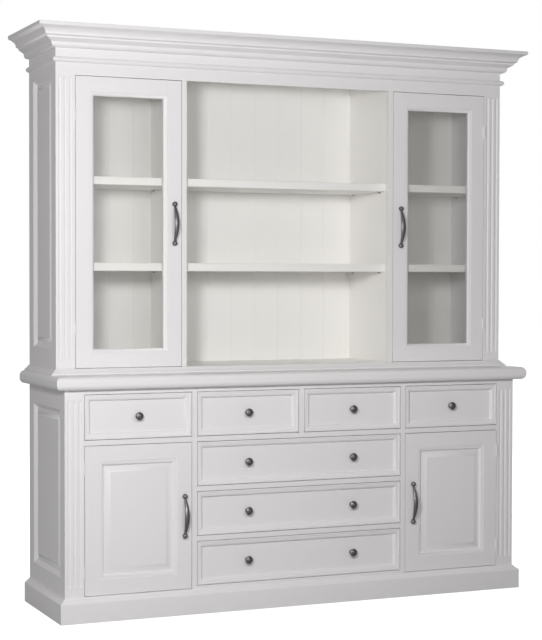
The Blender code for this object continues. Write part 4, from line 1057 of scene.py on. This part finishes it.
for label, sign in SIDES.items():
    near, far = span(sign, partition_inner, partition_outer)
    wall = board("lower_partition_" + label,
                 (near, base_inside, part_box("base_partition_left")[0].z),
                 (far, inside_back, base_top), paint_deep)
    hand_over(wall, "cabinet", "white_paint", "base_partition_" + label)
    strips = [runner(*span(sign, centre_half - runner_reach, partition_inner), foot)
              for foot in row_feet]
    strips.append(runner(*span(sign, partition_outer, opening_inner + runner_reach), row_feet[0]))
    strips = join("partition_runners_" + label, strips)
    hand_over(strips, "cabinet", "drawer_wood", "base_partition_" + label)
    ledge = runner(*span(sign, opening_outer - runner_reach, inner_x), row_feet[0])
    start = opening_outer - RUNNER["drawer_gap"] + GUIDE["gap"]
    guide = runner(*span(sign, start, inner_x), row_feet[0] + APART,
                   row_feet[0] + GUIDE["height"])
    ledge = join("side_runner_" + label, [ledge, guide])
    hand_over(ledge, "cabinet", "drawer_wood", "base_side_" + label)

panel_low, panel_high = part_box("base_back_panel")
panel = board("lower_back", (panel_low.x, inside_back + FIT, 0), (panel_high.x, back, base_top),
              paint_level)
hand_over(panel, "cabinet", "white_paint", "base_back_panel")
half_runner = edge_of("centre_right", LEFT) + runner_reach
centre = [runner(-half_runner, half_runner, row_feet[0]),
          runner(-DIVIDER / 2, DIVIDER / 2, row_feet[0] + APART, top_rail_foot)]
centre = join("centre_runner", centre)
hand_over(centre, "cabinet", "drawer_wood", "base_back_panel")
print("runners for", len(DRAWERS), "drawers")

# %% [markdown]
# ## Inside the hutch
# The back is tongue-and-groove: narrow upright boards whose chamfered edges meet in a V.
# One board is modelled and copied. The shelves lie on steel pins, and spare pin holes run
# up the partitions, so that a shelf can move. The holes are drilled with one set of rods,
# with none at the heights where the pins sit. The ceiling lies at the head of the carcass:
# from the front, the frieze rail hides it.
# Its boards, ceiling, shelves and partitions take the lighter, warmer niche white, whose extra tone
# is painted bounce light.
# %% Tongue-and-groove back
X, Z = 0, 2
PITCH = 0.105
V_WIDTH = 0.0012
boards_low, boards_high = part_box("hutch_back_boards")


def ends(piece, edge):
    """The two ends of an edge."""
    return [piece.data.vertices[index].co.copy() for index in edge.vertices]


def runs(piece, edge, axis):
    """How far an edge runs along one axis."""
    first, second = ends(piece, edge)
    return abs(first[axis] - second[axis])


def v_board(x_low, x_high):
    """A back board with its upright edges chamfered."""
    piece = rough_board("back_board", (x_low, boards_low.y, boards_low.z),
                        (x_high, boards_high.y, boards_high.z), paint_niche_painted_bounce)
    corners = [edge.index for edge in piece.data.edges if runs(piece, edge, Z) > PITCH]
    open_on(piece, "EDGE", lambda edge: edge.index in corners)
    bpy.ops.mesh.bevel(offset=V_WIDTH, segments=2)
    close()
    return piece


last = int(boards_high.x / PITCH) * PITCH
middle = v_board(0, PITCH)
parts = [copy(middle, "back_board", (-last + index * PITCH, 0, 0))
         for index in range(round(2 * last / PITCH))]
parts += [v_board(boards_low.x, -last), v_board(last, boards_high.x)]
bpy.data.objects.remove(middle)
matching = join("matchboard_back", parts)
hand_over(matching, "cabinet", "white_paint", "hutch_back_boards")
print("back boards:", len(parts))

# %% Ceiling
low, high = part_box("hutch_top_board")
attic = min(carcass_top, boards_high.z) - (high.z - low.z)
lid = board("hutch_ceiling", (low.x, low.y, attic),
            (high.x, high.y, attic + high.z - low.z), paint_niche_painted_bounce)
hand_over(lid, "cabinet", "white_paint", "hutch_top_board")
print("ceiling", round(attic - ceiling, 3), "m above the foot of the frieze")

# %% Shelves
SHELF_NOSE = 0.003
for bay in ("left", "niche", "right"):
    for level in ("lower", "upper"):
        node = "shelf_" + bay + "_" + level
        low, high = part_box(node)
        shelf = rough_board(bay + "_shelf_" + level, low, high, paint_niche_painted_bounce)
        nose = [edge.index for edge in shelf.data.edges
                if all(abs(end.y - low.y) < SMALL_STEP for end in ends(shelf, edge))
                and runs(shelf, edge, X) > SMALL_STEP]
        open_on(shelf, "EDGE", lambda edge: edge.index in nose)
        bpy.ops.mesh.bevel(offset=SHELF_NOSE, segments=4)
        close()
        soften(shelf)
        hand_over(shelf, "cabinet", "white_paint", node)
print("shelves:", sum("shelf" in piece.name for piece in finished))

# %% Pins and pin holes
PIN = {"radius": 0.003, "set_back": 0.045}
HOLE = {"radius": 0.0026, "depth": 0.007, "pitch": 0.065}
LOWEST_STEP, HIGHEST_STEP = -3, 9
PIN_STEPS = (0, 5)
pin_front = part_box("shelf_niche_lower")[0].y + PIN["set_back"]
pin_back = inside_back - PIN["set_back"]
pin_heights = [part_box("shelf_niche_" + level)[0].z - FIT - PIN["radius"]
               for level in ("lower", "upper")]
hole_heights = [pin_heights[0] + HOLE["pitch"] * step
                for step in range(LOWEST_STEP, HIGHEST_STEP + 1) if step not in PIN_STEPS]
pin = turned("pin", [(0, -0.004), (0.0024, -0.004), (0.0024, 0.0), (0.003, 0.0), (0.003, 0.0082),
                     (0.0026, 0.009), (0, 0.009)], 16, steel, (1, 0, 0), (0, 0, 1))
drill = turned("drill", [(0, -HOLE["depth"]), (HOLE["radius"], -HOLE["depth"]),
                         (HOLE["radius"], HOLE["depth"]), (0, HOLE["depth"])], 12, paint_level,
               (1, 0, 0), (0, 0, 1))


def drilled(wall, faces):
    """Drill the pin holes into a wall's faces, each given by its place along X."""
    rods = [copy(drill, "rod", (x, y, z))
            for x in faces for y in (pin_front, pin_back) for z in hole_heights]
    return cut(wall, join("rods", rods))


def pins_on(x, way):
    """Four pins on one face of a wall, pointing one way."""
    made = []
    for y in (pin_front, pin_back):
        for z in pin_heights:
            made.append(copy(pin, "pin", (0, 0, 0)))
            settle(made[-1], (x, y, z), 0.0 if way > 0 else math.pi)
    return made


for label, sign in SIDES.items():
    near, far = span(sign, partition_inner, partition_outer)
    wall = board("upper_partition_" + label, (near, hutch_inside, carcass_foot),
                 (far, inside_back, attic - FIT), paint_niche_painted_bounce)
    drilled(wall, (near, far))
    hand_over(wall, "cabinet", "white_paint", "hutch_partition_" + label)
    pegs = join("partition_pins_" + label, pins_on(near, -1) + pins_on(far, 1))
    hand_over(pegs, "cabinet", "pewter", "hutch_partition_" + label)
    pegs = join("side_pins_" + label, pins_on(sign * inner_x, -sign))
    hand_over(pegs, "cabinet", "pewter", "hutch_side_" + label)
print("pins at", [round(z, 3) for z in pin_heights])

# %% [markdown]
# ## Drawers
# A drawer front is flush in the frame: a thin rim, then a quarter round to a sunk field.
# Behind it hangs a bare wooden box, its sides running full length and its bottom let in.
# %% Drawer fronts and boxes
RIM = 0.0055
RIM_ROUND = 0.0012
FIELD_FALL = 0.015
MOULD_WIDTH = 0.018
BOX_FLOOR = 0.006
rim_steps = [(RIM_ROUND * 0.3, -RIM_ROUND * 0.7), (RIM_ROUND * 0.7, -RIM_ROUND * 0.3),
             (RIM - RIM_ROUND, 0)]
front_steps = rim_steps + quarter_round(MOULD_WIDTH, FIELD_FALL, 14)
wall = RUNNER["wall"]
for name in DRAWERS:
    left, right, bottom, top = fronts[name]
    face = sunk_panel("drawer_face_" + name, (left, base_front + RIM_ROUND, bottom),
                      (right, base_front + BOARD, top), front_steps, paint_level)
    hand_over(face, "drawer_" + name, "white_paint", "drawer_front_" + name)
    (x0, y0, z0), (x1, y1, z1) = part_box("drawer_box_" + name)
    floor_z = z0 + BOX_FLOOR
    parts = [
        board("side", (x0, y0, z0), (x0 + wall, y1, z1), wood_deep),
        board("side", (x1 - wall, y0, z0), (x1, y1, z1), wood_deep),
        board("front", (x0 + wall, y0, z0), (x1 - wall, y0 + wall, z1), wood_level),
        board("back", (x0 + wall, y1 - wall, z0), (x1 - wall, y1, z1), wood_level),
        board("bottom", (x0 + wall, y0 + wall, floor_z),
              (x1 - wall, y1 - wall, floor_z + BOX_FLOOR), wood_level)]
    box = join("box_" + name, parts)
    hand_over(box, "drawer_" + name, "drawer_wood", "drawer_box_" + name)
print("drawers:", len(DRAWERS))

# %% [markdown]
# ## Knobs
# A knob is turned: a low foot, a waist, a flared underside and a domed head with a ring
# groove cut into it. One knob is turned at the origin and copied to each drawer.
# %% Knobs
KNOB_HEAD = 0.029
GROOVE_WIDTH = 0.0016
GROOVE_DEPTH = 0.001
GROOVE_SPARE = 0.0001
knob_line = [(0, 0.0003), (0.0088, 0.0003), (0.0095, 0.0008), (0.0095, 0.0018), (0.0090, 0.0024)]
knob_line += arc((0.0090, 0.0060), (0.0035, 0.0034), 260, 180, 6)
knob_line += [(0.0055, 0.0100)]
knob_line += arc((0.0115, 0.0105), (0.0060, 0.0050), 170, 100, 5)
knob_line += [(0.0130, 0.0158), (0.0146, 0.0175), (0.0153, 0.0195)]
shoulder = arc((0, 0.0213), (0.0155, 0.0077), 0, 50, 8)
knob_line += shoulder
groove_out, groove_up = shoulder[-1]
knob_line += [(groove_out - 0.0005, groove_up - 0.0007), (groove_out - 0.0011, groove_up - 0.0006)]
knob_line += arc((0, groove_up), (groove_out - GROOVE_WIDTH, KNOB_HEAD - groove_up), 0, 90, 8)[:-1]
knob_line += [(0, KNOB_HEAD)]
knob = turned("knob", knob_line, 40, pewter)
knob.data.materials.append(pewter_dark)
for face in knob.data.polygons:
    off, up = math.hypot(face.center.x, face.center.z), -face.center.y
    in_width = groove_out - GROOVE_WIDTH < off < groove_out
    if in_width and groove_up - GROOVE_DEPTH < up < groove_up + GROOVE_SPARE:
        face.material_index = 1
knob_names = [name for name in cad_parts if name.startswith("knob_")]
for node in sorted(knob_names):
    low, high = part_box(node)
    place = ((low.x + high.x) / 2, base_front + FIELD_FALL, (low.z + high.z) / 2)
    drawer = max((name for name in DRAWERS if node.startswith("knob_" + name)), key=len)
    hand_over(copy(knob, "turned_" + node, place), "drawer_" + drawer, "pewter", node)
bpy.data.objects.remove(knob)
print("knobs:", len(knob_names))

# %% [markdown]
# ## Bow handles
# A handle is a bow between two balls on short feet. The bow starts as a thin neck at each
# ball and swells to a broad flat middle. A circle at one end is extruded upwards in steps,
# and each new ring is moved out and scaled, which is how a bow is lofted by hand.
# %% Handles
HANDLE = {"spacing": 0.149, "ball": 0.010, "ball_out": 0.011, "rise": 0.0225, "neck": 0.0042,
          "half_width": 0.0098, "half_depth": 0.0056, "foot": 0.0055}
HANDLE_STEPS = 40
HANDLE_SIDES = 24
BALL_SIDES = 32
BALL_START = -0.6
REACH_INTO_BALL = 0.2
BOW_FULLNESS = 0.85
MOST_LEAN = 1.6


def bow_ring(share):
    """The bow's height, distance out, half width and half depth at a share of its length."""
    half = HANDLE["spacing"] / 2 - HANDLE["ball"] * (1 - REACH_INTO_BALL)
    swell = max(math.sin(math.pi * share), 0.0)
    out = HANDLE["ball_out"] + HANDLE["rise"] * swell ** BOW_FULLNESS
    wide = HANDLE["neck"] + (HANDLE["half_width"] - HANDLE["neck"]) * swell
    deep = HANDLE["neck"] + (HANDLE["half_depth"] - HANDLE["neck"]) * swell
    return -half + 2 * half * share, out, wide, deep


def bow():
    """The bow of a handle, lofted from ring to ring."""
    z, out, wide, deep = bow_ring(0)
    bpy.ops.object.select_all(action="DESELECT")
    bpy.ops.mesh.primitive_circle_add(vertices=HANDLE_SIDES, radius=1, fill_type="NGON",
                                      location=(0, 0, 0))
    piece = bpy.context.object
    piece.data.materials.append(pewter)
    open_on(piece, "FACE", lambda face: True)
    rings = [bow_ring(step / HANDLE_STEPS) for step in range(HANDLE_STEPS + 1)]
    bpy.ops.transform.resize(value=(wide, deep, 1), center_override=(0, 0, 0))
    bpy.ops.transform.translate(value=(0, -out, z))
    for index in range(1, HANDLE_STEPS + 1):
        now, then = rings[index], rings[index - 1]
        after = rings[min(index + 1, HANDLE_STEPS)]
        lean = math.hypot(1, (after[1] - then[1]) / (after[0] - then[0]))
        bpy.ops.mesh.extrude_region_move(
            TRANSFORM_OT_translate={"value": (0, then[1] - now[1], now[0] - then[0])})
        target = now[3] * min(lean, MOST_LEAN)
        bpy.ops.transform.resize(value=(now[2] / wide, target / deep, 1),
                                 center_override=(0, -now[1], now[0]))
        wide, deep = now[2], target
    bpy.ops.mesh.select_all(action="SELECT")
    bpy.ops.mesh.normals_make_consistent(inside=False)
    close()
    return piece


def ball_and_foot(z):
    """A ball on its short foot, turned."""
    line = [(0, 0.0003), (0.0050, 0.0003), (HANDLE["foot"], 0.0007), (HANDLE["foot"], 0.0030)]
    start = math.degrees(math.asin(BALL_START))
    line += arc((0, HANDLE["ball_out"]), (HANDLE["ball"], HANDLE["ball"]), start, 90, 16)[:-1]
    line += [(0, HANDLE["ball_out"] + HANDLE["ball"])]
    return settle(turned("ball", line, BALL_SIDES, pewter), (0, 0, z))


grip = bow()
for end in (-1, 1):
    weld(grip, ball_and_foot(end * HANDLE["spacing"] / 2))
print("handle:", len(grip.data.polygons), "faces")

# %% [markdown]
# ## Doors
# A lower door holds a raised panel, a glass door a pane. In both, the moulded ring lies in
# front and a plain bead behind, and what they hold sits loose between them.
# %% Doors
FRAME_FLAT = {"lower_door": 0.058, "glass_door": 0.0565}
STICKING = {"lower_door": (0.016, 0.012), "glass_door": (0.0145, 0.009)}
HELD = {"lower_door": 0.005, "glass_door": 0.004}
for (kind, label), (left, right, bottom, top) in doors.items():
    sign = SIDES[label]
    front = base_front if kind == "lower_door" else hutch_front
    flat, (ring_width, ring_depth) = FRAME_FLAT[kind], STICKING[kind]
    width, height = right - left, top - bottom
    parts = framework(width, height, (flat, flat), (flat, flat), STICKING[kind], paint_level)
    parts.append(ring("bead", (flat, ring_depth + HELD[kind] + 2 * FIT, flat),
                      (width - flat, BOARD - FIT, height - flat), [(ring_width, 0)], paint_up))
    door = settle(join(kind + "_joinery_" + label, parts), (left, front, bottom))
    halves = hinges(kind, sign, front, bottom - FRONT_GAP, top + FRONT_GAP, moving=True)
    door = join(door.name, [door] + halves)
    hand_over(door, kind + "_" + label, "white_paint", kind + "_frame_" + label)
    node = kind + "_handle_" + label
    low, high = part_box(node)
    place = ((low.x + high.x) / 2, front, (low.z + high.z) / 2)
    hand_over(copy(grip, kind + "_bow_" + label, place), kind + "_" + label, "pewter", node)
bpy.data.objects.remove(grip)
for twin in (fixed_barrel, moving_barrel, pin, drill):
    bpy.data.objects.remove(twin)
print("doors:", len(doors))

# %% Panels and panes
FIELD = {"margin": 0.002, "slope": 0.025, "depth": 0.004}
PANE_EDGE = 0.0004
PANEL_TONGUE = FRAME_FLAT["lower_door"] + STICKING["lower_door"][0] - PANEL_IN_FRAME["lower_door"]
for label in SIDES:
    low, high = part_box("lower_door_panel_" + label)
    face_y = base_front + STICKING["lower_door"][1] + FIT
    rise = face_y - base_front - FIELD["depth"]
    field = [(PANEL_TONGUE + FIELD["margin"], 0)] + bevel(FIELD["slope"], -rise, 10)
    fielded = sunk_panel("raised_panel_" + label, (low.x, face_y, low.z),
                         (high.x, face_y + HELD["lower_door"], high.z), field, paint_up)
    hand_over(fielded, "lower_door_" + label, "white_paint", "lower_door_panel_" + label)
    low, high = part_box("glass_pane_" + label)
    pane = board("window_pane_" + label, low, high, glass, PANE_EDGE)
    hand_over(pane, "glass_door_" + label, "clear_glass", "glass_pane_" + label)
print("panels and panes made")

# %% [markdown]
# ## A solid that stays
# The lower unit's floor is a plain board that needs nothing finer than paint. It keeps its
# solid and gets the paint whose grain runs along it.
# %% Painted solids
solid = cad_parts["base_bottom_board"]
solid.data.materials.clear()
solid.data.materials.append(paint_level)
shown = [node for node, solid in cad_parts.items() if not solid.hide_render]
print("solids still shown:", shown)

# %% [markdown]
# ## Camera
# The camera stands left of the middle, at chest height and about six and a half metres
# away, with a long lens. Its place was solved from corners of the cabinet.
# %% Camera
CAMERA_PLACE = (-2.67154, -6.07866, 1.26919)
YAW, PITCH_ANGLE, ROLL = -23.4508, -1.4533, 0.1091
LENS, SENSOR = 93.5465, 36
yaw, tilt, roll = (math.radians(angle) for angle in (YAW, PITCH_ANGLE, ROLL))
forward = Vector((-math.sin(yaw) * math.cos(tilt), math.cos(yaw) * math.cos(tilt), math.sin(tilt)))
level = Vector((math.cos(yaw), math.sin(yaw), 0))
upward = level.cross(forward)
right = level * math.cos(roll) + upward * math.sin(roll)
up = upward * math.cos(roll) - level * math.sin(roll)
lens = bpy.data.cameras.new("camera")
lens.lens = LENS
lens.sensor_width = SENSOR
camera = bpy.data.objects.new("camera", lens)
bpy.context.scene.collection.objects.link(camera)
camera.matrix_world = Matrix(((right.x, up.x, -forward.x, CAMERA_PLACE[0]),
                              (right.y, up.y, -forward.y, CAMERA_PLACE[1]),
                              (right.z, up.z, -forward.z, CAMERA_PLACE[2]), (0, 0, 0, 1)))
bpy.context.scene.camera = camera
print("camera at", CAMERA_PLACE)

# %% [markdown]
# ## Floor and light
# The cabinet stands on a plain pale floor that glows for the camera alone, as a
# photographer's lit table does, so it comes out white and only a thin shadow is left under
# the skirting. The key lamp hangs a little over thirty degrees to the left, at the height
# of the upper doors: it lays the soft upright shadow in the niche and lights the sides'
# mouldings. A softer lamp in front and a weak one at the left open the shadows, and so does
# the room. A lamp behind the cabinet is for whoever walks round it.
# %% Floor, lamps, room
ROOM_LIGHT = 0.215
FLOOR_SIZE = 60
GLOW = {"From Min": 1.2, "From Max": 3.0, "To Min": 0.94, "To Max": 1.0}
ground = Recipe("pale_floor", Roughness=0.9, Emission_Strength=1.0)
mottle = ground.noise((3.0, 3.0, 3.0), 3.0)
away = ground.node("ShaderNodeVectorMath", {"operation": "LENGTH"}, {0: ground.places}, 1)
glow = ground.node("ShaderNodeMapRange", {}, {"Value": away, **GLOW})
seen = ground.node("ShaderNodeLightPath", {}, {}, "Is Camera Ray")
ground.finish(
    Base_Color=ground.between(mottle, (0.38, 0.38, 0.378), (0.42, 0.42, 0.42)),
    Emission_Color=ground.between(seen * glow, (0, 0, 0), (1, 1, 1)))
bpy.ops.object.select_all(action="DESELECT")
bpy.ops.mesh.primitive_plane_add(size=FLOOR_SIZE, location=(0, 0, 0))
floor = bpy.context.object
floor.name = "floor"
floor.data.materials.append(ground.material)
floor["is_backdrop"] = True


def lamp(name, kind, place, power, size, target=None):
    """A lamp of so many watts: a ball of a radius, or a square turned to its target."""
    light = bpy.data.lights.new(name, kind)
    light.energy = power
    if kind == "POINT":
        light.shadow_soft_size = size
    else:
        light.shape = "SQUARE"
        light.size = size
    item = bpy.data.objects.new(name, light)
    bpy.context.scene.collection.objects.link(item)
    item.location = place
    if target:
        item.rotation_euler = (Vector(target) - Vector(place)).to_track_quat("-Z", "Y").to_euler()


lamp("key", "POINT", (-2.1, -3.1, 1.8), 203, 0.22)
lamp("front_fill", "POINT", (-0.6, -3.0, 1.79), 74, 0.45)
lamp("side_fill", "AREA", (-4.5, 0.6, 1.4), 10.5, 2.5, (-0.95, 0.1, 1.1))
lamp("back_fill", "AREA", (2.2, 4.6, 2.6), 110, 2.5, (0, 0.3, 1.1))
room = bpy.data.worlds.new("room")
bpy.context.scene.world = room
room.use_nodes = True
tree = room.node_tree
path = tree.nodes.new("ShaderNodeLightPath")
blend = tree.nodes.new("ShaderNodeMix")
blend.data_type = "FLOAT"
blend.inputs[2].default_value = ROOM_LIGHT
blend.inputs[3].default_value = 1.0
tree.links.new(path.outputs["Is Camera Ray"], blend.inputs[0])
tree.links.new(blend.outputs[0], tree.nodes["Background"].inputs["Strength"])
tree.nodes["Background"].inputs["Color"].default_value = (1, 1, 1, 1)
bpy.context.scene.view_settings.view_transform = "Standard"

low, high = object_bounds()
